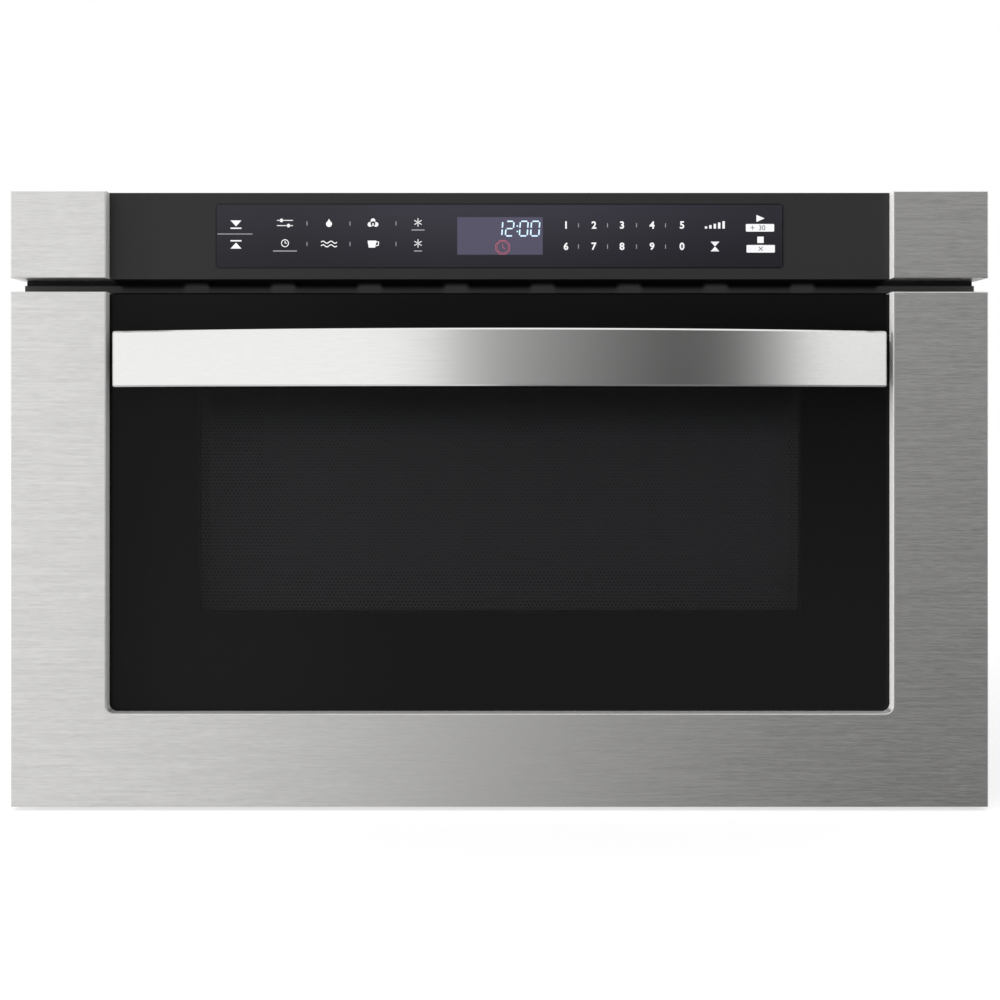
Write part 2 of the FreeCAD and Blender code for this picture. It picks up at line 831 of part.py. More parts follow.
def bow_outline(sketch):
    """The bar seen from above: two arcs about one centre, joined at the ends."""
    front = bow_arc(sketch, BOW_RADIUS)
    back = bow_arc(sketch, BOW_RADIUS - d.handle_thickness)
    for end in (1, 2):
        a, b = sketch.getPoint(front, end), sketch.getPoint(back, end)
        tip = sketch.addGeometry(Part.LineSegment(a, b), False)
        sketch.addConstraint(Sketcher.Constraint("Coincident", tip, 1, front, end))
        sketch.addConstraint(Sketcher.Constraint("Coincident", tip, 2, back, end))


def make_handle():
    """Flat bar bowed towards the room, with softened ends and bevelled long edges, on two posts."""
    body = new_body("handle_bar_body")
    bar = pad(body, "Z", HANDLE_FOOT, d.handle_height, bow_outline)
    outer_arc, thickness = number_of(BOW_RADIUS), number_of(d.handle_thickness)

    def end_corner(edge):
        return edge.Curve.TypeId == "Part::GeomLine" and edge.Length < 2 * thickness

    def front_long(edge):
        return edge.Curve.TypeId == "Part::GeomCircle" and abs(edge.Curve.Radius - outer_arc) < 1e-3

    softened = dressed(body, "Fillet", bar, d.handle_corner, end_corner)
    dressed(body, "Chamfer", softened, d.handle_bevel, front_long)
    piece(body, "handle_bar")
    outer = HALF_HANDLE - d.post_inset
    middle = HANDLE_FOOT + d.handle_height / 2
    height = (middle - d.post_height / 2, middle + d.post_height / 2)
    depth = (FACE_FRONT - d.handle_bow, PANEL_FRONT)
    post = block("post_blank", (outer - d.post_width, outer), depth, height)
    # the post's front follows the back of the bar
    back_radius, centre = BOW_RADIUS - d.handle_thickness, (ZERO, BOW_CENTRE, height[0])
    drum = round_bar("post_curve", "Z", back_radius, centre, d.post_height)
    saddle = document.addObject("Part::MultiCommon", "handle_post")
    saddle.Shapes = [post, drum]
    twins("handle_posts", saddle)


# ---------------------------------------------------------------- the control strip


def make_end_cap():
    """Steel cap at the end of the control strip, folded back on every side."""
    body = new_body("end_cap_body")
    t = d.face_gauge
    depth = FLANGE_FRONT - FACE_FRONT
    front = rectangle(HALF_OPENING, HALF_FACE, CONTROL_BOTTOM, CONTROL_TOP)
    blank = pad(body, "Y", FACE_FRONT, depth, front)
    dressed(body, "Fillet", blank, d.fold_radius, front_edges(FACE_FRONT))
    hollow = rectangle(HALF_OPENING + t, HALF_FACE - t, CONTROL_BOTTOM + t, CONTROL_TOP - t)
    pocket(body, "Y", FACE_FRONT + t, depth, hollow)
    inner_return = rectangle(HALF_OPENING - t, HALF_OPENING + t, CONTROL_BOTTOM + t, CONTROL_TOP - t)
    pocket(body, "Y", PANEL_FRONT, depth, inner_return)
    pair("end_cap", body)


def make_housing():
    """Black moulding between the caps, open behind, with a seat for the touch glass."""
    body = new_body("control_housing_body")
    half = HALF_FACE - d.housing_inset
    low, high = CONTROL_BOTTOM + d.housing_inset, CONTROL_TOP - d.housing_inset
    depth = FLANGE_FRONT - PANEL_FRONT
    wall, play = d.housing_wall, d.touch_play
    pad(body, "Y", PANEL_FRONT, depth, rectangle(-HALF_OPENING, HALF_OPENING, CONTROL_BOTTOM, CONTROL_TOP))
    pad(body, "Y", PANEL_FRONT, depth, rectangle(-half, half, low, high))
    shell = rectangle(-half + wall, half - wall, low + wall, high - wall)
    pocket(body, "Y", PANEL_FRONT + wall, depth, shell)
    across, rise = about(ZERO, d.touch_width, play), about(CONTROL_CENTRE, d.touch_height, play)
    seat = rectangle(*across, *rise, d.touch_corner + play)
    pocket(body, "Y", PANEL_FRONT, d.touch_thickness - d.touch_proud, seat)
    # the display shines through a hole behind the glass
    hole = rectangle(*about(ZERO, d.display_width, play), *about(CONTROL_CENTRE, d.display_height, play))
    pocket(body, "Y", PANEL_FRONT, wall, hole)
    piece(body, "control_housing")


def make_touch_controls():
    """Touch glass in the housing's seat, the clock display behind it and the board behind that."""
    glass = new_body("touch_glass_body")
    face = PANEL_FRONT - d.touch_proud
    plan = (*about(ZERO, d.touch_width), *about(CONTROL_CENTRE, d.touch_height))
    pad(glass, "Y", face, d.touch_thickness, rectangle(*plan, d.touch_corner))
    piece(glass, "touch_glass")
    back = face + d.touch_thickness
    board_front = back + d.display_depth
    rise = about(CONTROL_CENTRE, d.display_height)
    piece(block("display", about(ZERO, d.display_width), (back, board_front), rise), "display_module")
    depth = (board_front, board_front + d.board_thickness)
    rise = about(CONTROL_CENTRE, d.board_height)
    piece(block("board", about(ZERO, d.board_width), depth, rise), "control_board")


def make_vent_strip():
    """Black moulding in the gap above the drawer: a ledge with a row of soft bumps."""
    low = DRAWER_TOP + d.vent_clearance
    front = FLANGE_FRONT - d.vent_depth
    across = (-HALF_FLANGE, HALF_FLANGE)
    ledge = block("vent_ledge", across, (front, FLANGE_FRONT), (low, low + d.vent_step))
    wall = block("vent_wall", across, (front + d.vent_recess, FLANGE_FRONT), (low, CONTROL_BOTTOM))
    rise = (low, CONTROL_BOTTOM - d.vent_bump_drop)
    bump = block("vent_bump", about(ZERO, d.vent_bump_width), (front, FLANGE_FRONT), rise)
    row = [bump_at(bump, index) for index in range(int(number_of(d.vent_bumps)))]
    piece(joined("vent_strip_body", ledge, wall, *row), "vent_strip")


def bump_at(bump, index):
    """One rounded bump at its place in the row."""
    rounded = document.addObject("Part::Fillet", "vent_bump_round")
    rounded.Base = bump
    document.recompute()
    top = bump.Shape.BoundBox.ZMax
    corner = number_of(d.vent_bump_corner)
    rounded.Edges = [
        (i, corner, corner)
        for i, edge in enumerate(bump.Shape.Edges, start=1)
        if along(edge, "Y") and abs(edge.CenterOfMass.z - top) < 1e-6
    ]
    return bind(rounded, Placement__Base__x=(index - (d.vent_bumps - 1) / 2) * d.vent_bump_pitch)


# ---------------------------------------------------------------- the chassis


def make_front_frame():
    """Black flange that overlaps the cabinet. Holes pass the tray, the arms, the rack and the hooks."""
    body = new_body("front_frame_body")
    flange = rectangle(-HALF_FLANGE, HALF_FLANGE, d.flange_foot, CONTROL_TOP - d.housing_inset)
    mouth = rectangle(-HALF_CAVITY, HALF_CAVITY, CAVITY_FLOOR, CAVITY_CEILING)
    pad(body, "Y", FLANGE_FRONT, d.front_gauge, flange, mouth)
    play = d.slot_play
    arm_rise = (ARM_BOTTOM - play, ARM_TOP + play)
    openings = [
        rectangle(ARM_INNER - play, SIDE_INNER, *arm_rise),
        rectangle(-SIDE_INNER, play - ARM_INNER, *arm_rise),
        rectangle(*about(ZERO, d.rack_width, play), RACK_TIPS - play, CROSSBAR_BOTTOM + play),
        rectangle(*about(ZERO, d.wiring_width), *about(CONTROL_CENTRE, d.wiring_height)),
    ]
    for side in (-1, 1):
        across = about(side * LATCH_X, d.latch_width, d.latch_slot_play)
        openings.append(rectangle(*across, d.latch_bottom - play, LATCH_TOP + play))
        for level in about(d.screw_centre_z, d.screw_spacing_z):
            openings.append(circle(side * SCREW_X, level, d.screw_hole_radius))
    pocket(body, "Y", FLANGE_FRONT, d.front_gauge, *openings)
    piece(body, "front_frame")


def make_base():
    """Pan that stands on the shelf, with its rim turned up and two stiffening ribs pressed up."""
    body = new_body("base_plate_body")
    t = d.sheet_gauge
    pad(body, "Z", ZERO, d.hem, rectangle(-SIDE_INNER, SIDE_INNER, ZERO, REAR_INNER))
    pocket(body, "Z", t, d.hem, rectangle(-SIDE_INNER + t, SIDE_INNER - t, t, REAR_INNER - t))
    front, rear = d.base_rib_front, REAR_INNER - d.base_rib_rear_gap
    for side in (-1, 1):
        centre = side * d.base_rib_offset
        ridge = rectangle(*about(centre, d.base_rib_width), front, rear)
        hollow = rectangle(*about(centre, d.base_rib_width, -t), front + t, rear - t)
        pad(body, "Z", t, d.base_rib_height, ridge)
        pocket(body, "Z", ZERO, d.base_rib_height, hollow)
    piece(body, "base_plate")


def make_side_panel():
    """Side of the chassis, with its front edge turned out behind the flange."""
    body = new_body("side_panel_body")
    t = d.sheet_gauge
    l_shape = [
        (SIDE_INNER, ZERO),
        (HALF_CHASSIS + d.side_hem, ZERO),
        (HALF_CHASSIS + d.side_hem, t),
        (HALF_CHASSIS, t),
        (HALF_CHASSIS, CHASSIS_DEPTH),
        (SIDE_INNER, CHASSIS_DEPTH),
    ]
    pad(body, "Z", ZERO, TOP_INNER, outline(l_shape))
    # the turned edge ends with the flange's foot
    low_front = rectangle(-t, t, -t, d.flange_foot)
    pocket(body, "X", HALF_CHASSIS, d.side_hem, low_front)
    pair("side_panel", body)


def make_top():
    """Lid with its side and rear edges turned down inside the box."""
    body = new_body("top_cover_body")
    t = d.sheet_gauge
    pad(body, "Z", TOP_INNER, t, rectangle(-HALF_CHASSIS, HALF_CHASSIS, ZERO, CHASSIS_DEPTH))
    rim = rectangle(-SIDE_INNER, SIDE_INNER, ZERO, REAR_INNER)
    inner = rectangle(-SIDE_INNER + t, SIDE_INNER - t, t, REAR_INNER - t)
    pad(body, "Z", TOP_INNER - d.hem, d.hem, rim, inner)
    piece(body, "top_cover")


def make_rear():
    """Rear wall with two banks of vent slots and the hole for the mains lead."""
    body = new_body("rear_panel_body")
    t = d.sheet_gauge
    pad(body, "Y", REAR_INNER, t, rectangle(-SIDE_INNER, SIDE_INNER, ZERO, TOP_INNER))
    pocket(body, "Y", REAR_INNER, t, circle(d.cord_x, d.cord_z, d.cord_bush_radius))
    near, far = d.vent_slot_inner, d.vent_slot_inner + d.vent_slot_width
    rise = (d.vent_slot_bottom, d.vent_slot_bottom + d.vent_slot_height)
    vents = pocket(body, "Y", REAR_INNER, t, rectangle(near, far, *rise), rectangle(-far, -near, *rise))
    rows = body.newObject("PartDesign::LinearPattern", "Vents")
    rows.Originals = [vents]
    rows.Direction = (vents.Profile[0], ["V_Axis"])
    bind(rows, Length=(d.vent_slot_rows - 1) * d.vent_slot_pitch, Occurrences=d.vent_slot_rows)
    body.Tip = rows
    piece(body, "rear_panel")


def make_cord_bush():
    """Rubber bush in the rear wall that the mains lead passes through."""
    start = (d.cord_x, REAR_INNER - d.cord_bush_length / 2, d.cord_z)
    barrel = round_bar("bush_barrel", "Y", d.cord_bush_radius, start, d.cord_bush_length)
    rim = d.cord_bush_radius + d.cord_lip
    inner, outer = REAR_INNER - start[1], start[1] + d.cord_bush_length - CHASSIS_DEPTH
    lips = [
        round_bar("bush_lip", "Y", rim, start, inner),
        round_bar("bush_lip", "Y", rim, (d.cord_x, CHASSIS_DEPTH, d.cord_z), outer),
    ]
    bore = round_bar("bush_bore", "Y", d.cord_hole_radius, start, d.cord_bush_length)
    piece(cut("cord_bush_body", joined("bush_body", barrel, *lips), bore), "cord_bush")


# ---------------------------------------------------------------- the cavity


def arch(reach):
    """Three sides of the cavity seen from the front, from its inner line out to a reach."""
    foot = CAVITY_FLOOR - d.cavity_gauge
    side, top = HALF_CAVITY + reach, CAVITY_CEILING + reach
    left, right = -HALF_CAVITY, HALF_CAVITY
    inner = [(left, foot), (left, CAVITY_CEILING), (right, CAVITY_CEILING), (right, foot)]
    outer = [(side, foot), (side, top), (-side, top), (-side, foot)]
    return outline([*inner, *outer])


def port():
    """Hole under the stirrer, the same in the ceiling and in the duct's floor."""
    return rectangle(*about(ZERO, d.port_width), *about(d.stirrer_y, d.port_depth))


def make_cavity():
    """Wrap, floor and back of the cooking cavity."""
    g = d.cavity_gauge
    wrap = new_body("cavity_wrap_body")
    pad(wrap, "Y", ZERO, d.cavity_depth + g, arch(g))
    pad(wrap, "Y", ZERO, g, arch(d.mouth_flange))
    pocket(wrap, "Z", CAVITY_CEILING, g, port())
    piece(wrap, "cavity_wrap")
    across = (-HALF_CAVITY, HALF_CAVITY)
    floor = block("floor", across, (ZERO, d.cavity_depth + g), (CAVITY_FLOOR - g, CAVITY_FLOOR))
    piece(floor, "cavity_floor")
    back = block("back", across, (d.cavity_depth, d.cavity_depth + g), (CAVITY_FLOOR, CAVITY_CEILING))
    piece(back, "cavity_back")


def make_waveguide():
    """Flat duct along the ceiling, from the magnetron to the stirrer."""
    body = new_body("waveguide_body")
    half, w = d.waveguide_width / 2, d.waveguide_gauge
    front, rear = d.stirrer_y - half, MAGNETRON_Y + d.waveguide_tail
    pad(body, "Z", DUCT_FLOOR, d.waveguide_height, rectangle(-half, half, front, rear))
    inside = rectangle(-half + w, half - w, front + w, rear - w)
    pocket(body, "Z", DUCT_FLOOR + w, d.waveguide_height - 2 * w, inside)
    pocket(body, "Z", DUCT_FLOOR, w, port(), circle(ZERO, MAGNETRON_Y, ANTENNA_HOLE))
    shaft = circle(ZERO, d.stirrer_y, d.stirrer_shaft_radius + d.shaft_end_gap)
    pocket(body, "Z", DUCT_TOP - w, w, shaft)
    piece(body, "waveguide")


def make_stirrer():
    """Slotted metal fan under the ceiling, its motor on the duct and its cover below."""
    radius, y = d.stirrer_shaft_radius, d.stirrer_y
    blade_top = CAVITY_CEILING - d.stirrer_drop
    hub_foot = blade_top - d.stirrer_hub_height
    shaft_length = DUCT_TOP + d.stirrer_shaft_grip - blade_top
    shaft = round_bar("stirrer_shaft", "Z", radius, (ZERO, y, blade_top), shaft_length)
    hub = round_bar("stirrer_hub", "Z", d.stirrer_hub_radius, (ZERO, y, hub_foot), d.stirrer_hub_height)
    vanes = plain("stirrer_vanes", vane_shape())
    move_to(vanes, ZERO, y, hub_foot)
    piece(joined("stirrer_rotor", shaft, hub, vanes), "stirrer_blade")
    case = round_bar("stirrer_case", "Z", d.stirrer_motor_radius, (ZERO, y, DUCT_TOP), d.stirrer_motor_height)
    ear_x, ear_y = about(ZERO, d.stirrer_ear_width), about(y, d.stirrer_ear_depth)
    ears = block("stirrer_ears", ear_x, ear_y, (DUCT_TOP, DUCT_TOP + d.stirrer_ear_gauge))
    depth = d.stirrer_shaft_grip + d.shaft_end_gap
    bore = round_bar("stirrer_bore", "Z", radius + d.shaft_play, (ZERO, y, DUCT_TOP), depth)
    piece(cut("stirrer_motor_body", joined("stirrer_case_ears", case, ears), bore), "stirrer_motor")
    cover = new_body("stirrer_cover_body")
    wall, corner = d.stirrer_cover_wall, d.stirrer_cover_corner
    low = CAVITY_CEILING - d.stirrer_cover_depth
    width = d.stirrer_cover_width
    pad(cover, "Z", low, d.stirrer_cover_depth, rectangle(*about(ZERO, width), *about(y, width), corner))
    inside = rectangle(*about(ZERO, width, -wall), *about(y, width, -wall), corner - wall)
    pocket(cover, "Z", low + wall, d.stirrer_cover_depth, inside)
    piece(cover, "stirrer_cover")


def vane_shape():
    """Four flat vanes round a centre, each wider at its tip."""
    reach, shoulder = number_of(d.stirrer_radius), number_of(d.stirrer_radius - d.vane_point)
    root, tip = number_of(d.vane_root / 2), number_of(d.vane_tip / 2)
    wedge = [(0, -root), (shoulder, -tip), (reach, 0), (shoulder, tip), (0, root), (0, -root)]
    vane = Part.Face(Part.makePolygon([Vector(x, y, 0) for x, y in wedge]))
    vane = vane.extrude(Vector(0, 0, number_of(d.vane_gauge)))
    vanes = []
    for turn in range(4):
        copy = vane.copy()
        copy.rotate(Vector(), Vector(0, 0, 1), 90 * turn + 45)
        vanes.append(copy)
    return vanes[0].fuse(vanes[1:]).removeSplitter()


# ---------------------------------------------------------------- the tray


def make_tray():
    """Moulded bin with rounded rear corners and a low front lip, on two glides."""
    body = new_body("food_tray_body")
    wall, r = d.tray_wall, d.tray_corner
    half = HALF_CAVITY - d.tray_play
    rear = d.cavity_depth - d.tray_play
    low = CAVITY_FLOOR + d.glide_height

    def plan(inset):
        side, front, back, corner = half - inset, DOOR_BACK + inset, rear - inset, r - inset
        return outline([(-side, front), (side, front), (side, back, corner), (-side, back, corner)])

    pad(body, "Z", low, d.tray_height, plan(ZERO))
    pocket(body, "Z", low + d.tray_floor, d.tray_height, plan(wall))
    front = rectangle(-half + wall, half - wall, low + d.tray_lip, low + d.tray_height + wall)
    pocket(body, "Y", DOOR_BACK, wall, front)
    piece(body, "food_tray")
    glide_foot = CAVITY_FLOOR + d.glide_running_gap
    across = about(d.glide_spacing / 2, d.glide_width)
    glide = block("glide", across, (d.glide_front, rear - d.glide_rear_gap), (glide_foot, low))
    twins("tray_glides", glide)


# ---------------------------------------------------------------- slides


def section_wire(steps):
    """A wire through (u, w) places: a pair is a straight run, two pairs an arc by its middle and end."""
    edges = []
    here = Vector(steps[0][0], 0, steps[0][1])
    for step in steps[1:]:
        if len(step) == 2:
            there = Vector(step[0], 0, step[1])
            edges.append(Part.LineSegment(here, there).toShape())
        else:
            middle, there = Vector(step[0], 0, step[1]), Vector(step[2], 0, step[3])
            edges.append(Part.Arc(here, middle, there).toShape())
        here = there
    return Part.Wire(edges)


def race_steps(web, ball, radius, corner, sweep_from, wrap, outward):
    """Half a channel: up the web, round a corner and along the flange to the ball race."""
    level = ball[1] + radius * outward
    turn = 1 if ball[0] > web else -1
    corner_mid = corner * (1 - math.sqrt(0.5))

    def on_race(degrees):
        angle = math.radians(degrees)
        return ball[0] + radius * math.cos(angle), ball[1] + radius * math.sin(angle)

    return [
        (web, 0.0),
        (web, level - corner),
        (web + turn * corner_mid, level - corner_mid, web + turn * corner, level),
        (ball[0], level),
        (*on_race(sweep_from - wrap / 2), *on_race(sweep_from - wrap)),
    ]


def channel(steps, gauge, length):
    """A rolled channel, symmetric above and below, along +Y. Its sheet lies outside the given line."""
    half = section_wire(steps).makeOffset2D(gauge, fill=True, openResult=True)
    solid = half.extrude(Vector(0, length, 0))
    other = solid.mirror(Vector(), Vector(0, 0, 1))
    return solid.fuse(other).removeSplitter()


def make_slides():
    """Three-member telescopic slides with races rolled round two rows of balls on each side."""
    gauge, corner = number_of(d.slide_gauge), number_of(d.race_corner)
    length, cage_length = number_of(SLIDE_LENGTH), number_of(d.cage_length)
    ball, race = number_of(d.ball_radius), number_of(d.ball_radius + d.ball_play)
    thin = number_of(d.cage_gauge)
    outer_ball = (number_of(d.outer_ball_reach), number_of(d.outer_ball_rise))
    inner_ball = (number_of(d.inner_ball_reach), outer_ball[1] - 2 * race - gauge)
    cage_room = number_of(d.cage_gauge + 2 * d.cage_play + d.slide_web_gap)
    cage_set_off = number_of(d.cage_play) + thin
    outer_wrap, inner_wrap = number_of(d.outer_race_wrap), number_of(d.inner_race_wrap)
    middle_web = gauge + cage_room + gauge

    def cage(web, centre):
        half_height = centre[1] - thin / 2
        tip = centre[0] + ball - number_of(d.cage_tip_gap)
        steps = [(web, 0.0), (web, half_height), (tip, half_height)]
        return channel(steps, thin, cage_length)

    def member(web, centre, sweep_from, wrap, outward):
        steps = race_steps(web, centre, race, corner, sweep_from, wrap, outward)
        return channel(steps, gauge, length)

    members = {
        "slide_outer": member(gauge, outer_ball, 90, outer_wrap, 1),
        "slide_middle": member(middle_web, inner_ball, 90, outer_wrap, 1),
        "slide_inner": member(number_of(d.slide_thickness), inner_ball, 270, inner_wrap, -1),
    }
    for name, shape in members.items():
        pair(name, facing_inwards(name, shape, d.slide_front))
    cages = {
        "ball_cages_outer": cage(gauge + cage_set_off, outer_ball),
        "ball_cages_inner": cage(middle_web + cage_set_off, inner_ball),
    }
    for name, shape in cages.items():
        twins(name, facing_inwards(name, shape, CAGE_FRONT))


def facing_inwards(name, shape, front):
    """A channel drawn from the side panel inwards, turned to face the drawer on the right-hand side."""
    right = plain(name + "_shape", shape.mirror(Vector(), Vector(1, 0, 0)))
    return move_to(right, SIDE_INNER, front, d.slide_centre)


# ---------------------------------------------------------------- the carriage


def make_carriage():
    """Two steel arms behind the door, tied by a bar that passes under the cavity."""
    body = new_body("arm_body")
    back, g = BACKPLATE_BACK, d.arm_gauge
    plan = [
        (ARM_INNER - d.arm_tab, back),
        (ARM_OUTER, back),
        (ARM_OUTER, CROSSBAR_REAR),
        (ARM_INNER, CROSSBAR_REAR),
        (ARM_INNER, back + g),
        (ARM_INNER - d.arm_tab, back + g),
    ]
    pad(body, "Z", ARM_BOTTOM, ARM_TOP - ARM_BOTTOM, outline(plan))
    # the tab is only as high as the room below the choke
    tab_top = rectangle(ARM_INNER - d.arm_tab, ARM_INNER, CHOKE_FOOT - d.tab_gap, ARM_TOP)
    pocket(body, "Y", back, g, tab_top)
    pair("carriage_arm", body)
    bar = new_body("crossbar_body")
    trough = [
        (CROSSBAR_FRONT, CROSSBAR_BOTTOM),
        (CROSSBAR_REAR, CROSSBAR_BOTTOM),
        (CROSSBAR_REAR, CROSSBAR_TOP),
        (CROSSBAR_REAR - g, CROSSBAR_TOP),
        (CROSSBAR_REAR - g, CROSSBAR_BOTTOM + g),
        (CROSSBAR_FRONT + g, CROSSBAR_BOTTOM + g),
        (CROSSBAR_FRONT + g, CROSSBAR_TOP),
        (CROSSBAR_FRONT, CROSSBAR_TOP),
    ]
    pad(bar, "X", -ARM_INNER, 2 * ARM_INNER, outline(trough))
    piece(bar, "rear_crossbar")


def make_latch():
    """Plastic tongues on the door's back that reach through the flange to the interlock switches."""
    low, high, inset = d.latch_bottom, LATCH_TOP, d.latch_inset
    x = about(LATCH_X, d.latch_width)
    tip = d.latch_reach
    tongue = block("tongue", x, (BACKPLATE_BACK, tip), (low + inset, high - inset))
    foot = block("tongue_foot", x, (BACKPLATE_BACK, BACKPLATE_BACK + d.latch_foot), (low, high))
    barb_rise = (low + inset, high - inset + d.latch_barb_rise)
    barb = block("tongue_barb", x, (tip - d.latch_barb_length, tip), barb_rise)
    twins("latch_hooks", joined("latch_hook_body", tongue, foot, barb))
    # each switch case grips the tongue from above and below and is closed behind it
    x, depth = about(LATCH_X, d.switch_width), (ZERO, d.switch_depth)
    above, below = high + d.switch_gap, low - d.switch_gap
    top, bottom = above + d.switch_height, below - d.switch_height
    upper = block("switch_upper", x, depth, (above, top))
    lower = block("switch_lower", x, depth, (bottom, below))
    tie = block("switch_tie", x, (d.switch_depth - d.switch_back, d.switch_depth), (bottom, top))
    twins("interlock_switches", joined("interlock_body", upper, lower, tie))


# ---------------------------------------------------------------- the drive

PRESSURE_ANGLE = math.radians(20)
ROOT_DEPTH = 1.25  # in modules
# the bracket's two ears stand on the base on either side of the gears, and the motor on the right one
LEFT_EAR = -d.pinion_width / 2 - d.gear_side_gap
RIGHT_EAR = d.pinion_width / 2 + d.wheel_width + d.gear_side_gap
MOTOR_FACE = RIGHT_EAR + d.bracket_gauge


def involute(angle):
    return math.tan(angle) - angle


def gear_shape(teeth, module, width, bore, backlash, phase):
    """A spur gear about +X, one tooth pointing at the phase angle from +Y to +Z.

    Each involute flank is two chords that meet on the pitch circle, where the teeth touch.
    """
    pitch_r = module * teeth / 2
    base_r = pitch_r * math.cos(PRESSURE_ANGLE)
    tip_r, root_r = pitch_r + module, pitch_r - ROOT_DEPTH * module
    half_pitch_tooth = math.pi / (2 * teeth) - backlash / (2 * pitch_r)

    def half_angle(radius):
        lean = math.acos(min(1.0, base_r / radius))
        return half_pitch_tooth + involute(PRESSURE_ANGLE) - involute(lean)

    def place(radius, angle):
        return Vector(0, radius * math.cos(angle), radius * math.sin(angle))

    flank = [(root_r, half_angle(max(base_r, root_r)))]
    flank += [(radius, half_angle(radius)) for radius in (pitch_r, tip_r)]
    corners = []
    for tooth in range(teeth):
        centre = phase + 2 * math.pi * tooth / teeth
        corners += [place(radius, centre - half) for radius, half in flank]
        corners += [place(radius, centre + half) for radius, half in reversed(flank)]
    profile = Part.Face(Part.makePolygon([*corners, corners[0]]))
    solid = profile.extrude(Vector(width, 0, 0))
    return solid.cut(Part.makeCylinder(bore, width, Vector(), Vector(1, 0, 0)))


def rack_shape(module, length, width, back_level, backlash, first_gap):
    """A toothed bar along +Y with its teeth down. Its pitch line is Z = 0, with a gap at first_gap."""
    pitch = math.pi * module
    slope = math.tan(PRESSURE_ANGLE)
    tip, root = -module, ROOT_DEPTH * module
    half_at_pitch = pitch / 4 - backlash / 2
    half_tip = half_at_pitch + tip * slope
    half_root = half_at_pitch + root * slope
    start = first_gap % pitch + pitch / 2
    count = int((length - start - half_root) // pitch) + 1
    points = [Vector(0, 0, back_level), Vector(0, 0, root)]
    for index in range(count):
        centre = start + index * pitch
        points += [Vector(0, centre - half_root, root), Vector(0, centre - half_tip, tip)]
        points += [Vector(0, centre + half_tip, tip), Vector(0, centre + half_root, root)]
    points += [Vector(0, length, root), Vector(0, length, back_level), points[0]]
    return Part.Face(Part.makePolygon(points)).extrude(Vector(width, 0, 0))


def make_rack():
    """Rack under the carriage, from the door's back to the rear end of the crossbar."""
    bar = rack_shape(
        module=number_of(d.gear_module),
        length=number_of(CROSSBAR_REAR - BACKPLATE_BACK),
        width=number_of(d.rack_width),
        back_level=number_of(d.rack_back),
        backlash=number_of(d.backlash),
        first_gap=number_of(d.gear_y - BACKPLATE_BACK),
    )
    rack = plain("rack_bar", bar)
    move_to(rack, -d.rack_width / 2, BACKPLATE_BACK, PITCH_LINE)
    piece(rack, "drive_rack")


def make_gears():
    """A compound gear under the rack and the pinion of the motor that turns it."""
    module, backlash = number_of(d.gear_module), number_of(d.backlash)
    pinion_width, wheel_width = number_of(d.pinion_width), number_of(d.wheel_width)
    bore = number_of(d.axle_radius + d.shaft_play)
    pinion_teeth, wheel_teeth = int(number_of(d.pinion_teeth)), int(number_of(d.wheel_teeth))
    # a tooth of the small gear points up into the rack, one of the large gear at the motor
    small = gear_shape(pinion_teeth, module, pinion_width, bore, backlash, math.pi / 2)
    large = gear_shape(wheel_teeth, module, wheel_width, bore, backlash, 0.0)
    small.translate(Vector(-pinion_width / 2, 0, 0))
    large.translate(Vector(pinion_width / 2, 0, 0))
    compound = plain("compound_gear", small.fuse(large))
    move_to(compound, ZERO, d.gear_y, GEAR_Z)
    piece(compound, "drive_gear")

    motor_teeth, shaft_radius = int(number_of(d.motor_teeth)), number_of(d.motor_shaft_radius)
    meshed = math.pi + math.pi / motor_teeth
    toothed = gear_shape(motor_teeth, module, wheel_width, shaft_radius, backlash, meshed)
    shaft_length = number_of(MOTOR_FACE + d.motor_shaft_grip - d.pinion_width / 2)
    shaft = Part.makeCylinder(shaft_radius, shaft_length, Vector(), Vector(1, 0, 0))
    spindle = plain("motor_spindle", toothed.fuse(shaft).removeSplitter())
    move_to(spindle, d.pinion_width / 2, MOTOR_Y, GEAR_Z)
    piece(spindle, "motor_pinion")


def make_drive_bracket():
    """Folded bracket on the base with the fixed axle of the compound gear."""
    g, floor = d.bracket_gauge, d.sheet_gauge
    front, rear = about(d.gear_y, 2 * d.bracket_margin)
    left, right = LEFT_EAR - g, RIGHT_EAR + g
    left_ear = block("left_ear", (left, LEFT_EAR), (front, rear), (floor, GEAR_Z + d.bracket_head))
    plate_top = GEAR_Z + d.motor_plate_head
    plate_rear = MOTOR_Y + d.motor_plate_margin
    right_ear = block("right_ear", (RIGHT_EAR, right), (front, plate_rear), (floor, plate_top))
    foot = block("ear_foot", (left, right), (front, rear), (floor, floor + g))
    hole_radius = d.motor_shaft_radius * 2
    shaft_hole = round_bar("shaft_hole", "X", hole_radius, (RIGHT_EAR, MOTOR_Y, GEAR_Z), g)
    frame = cut("bracket_frame", joined("bracket_sheet", left_ear, right_ear, foot), shaft_hole)
    axle = round_bar("axle", "X", d.axle_radius, (left, d.gear_y, GEAR_Z), right - left)
    piece(joined("drive_bracket_body", frame, axle), "drive_bracket")


def make_drive_motor():
    """Gear motor on the bracket, with a bearing in its face for the pinion's shaft."""
    start = (MOTOR_FACE, MOTOR_Y, GEAR_Z)
    rear = (MOTOR_FACE + d.motor_length, MOTOR_Y, GEAR_Z)
    case = round_bar("motor_case", "X", d.motor_radius, start, d.motor_length)
    bell = round_bar("motor_bell", "X", d.motor_bell_radius, rear, d.motor_bell_length)
    depth = d.motor_shaft_grip + d.shaft_end_gap
    bearing = round_bar("motor_bearing", "X", d.motor_shaft_radius + d.shaft_play, start, depth)
    piece(cut("drive_motor_body", joined("motor_body", case, bell), bearing), "drive_motor")


# ---------------------------------------------------------------- the rear compartment


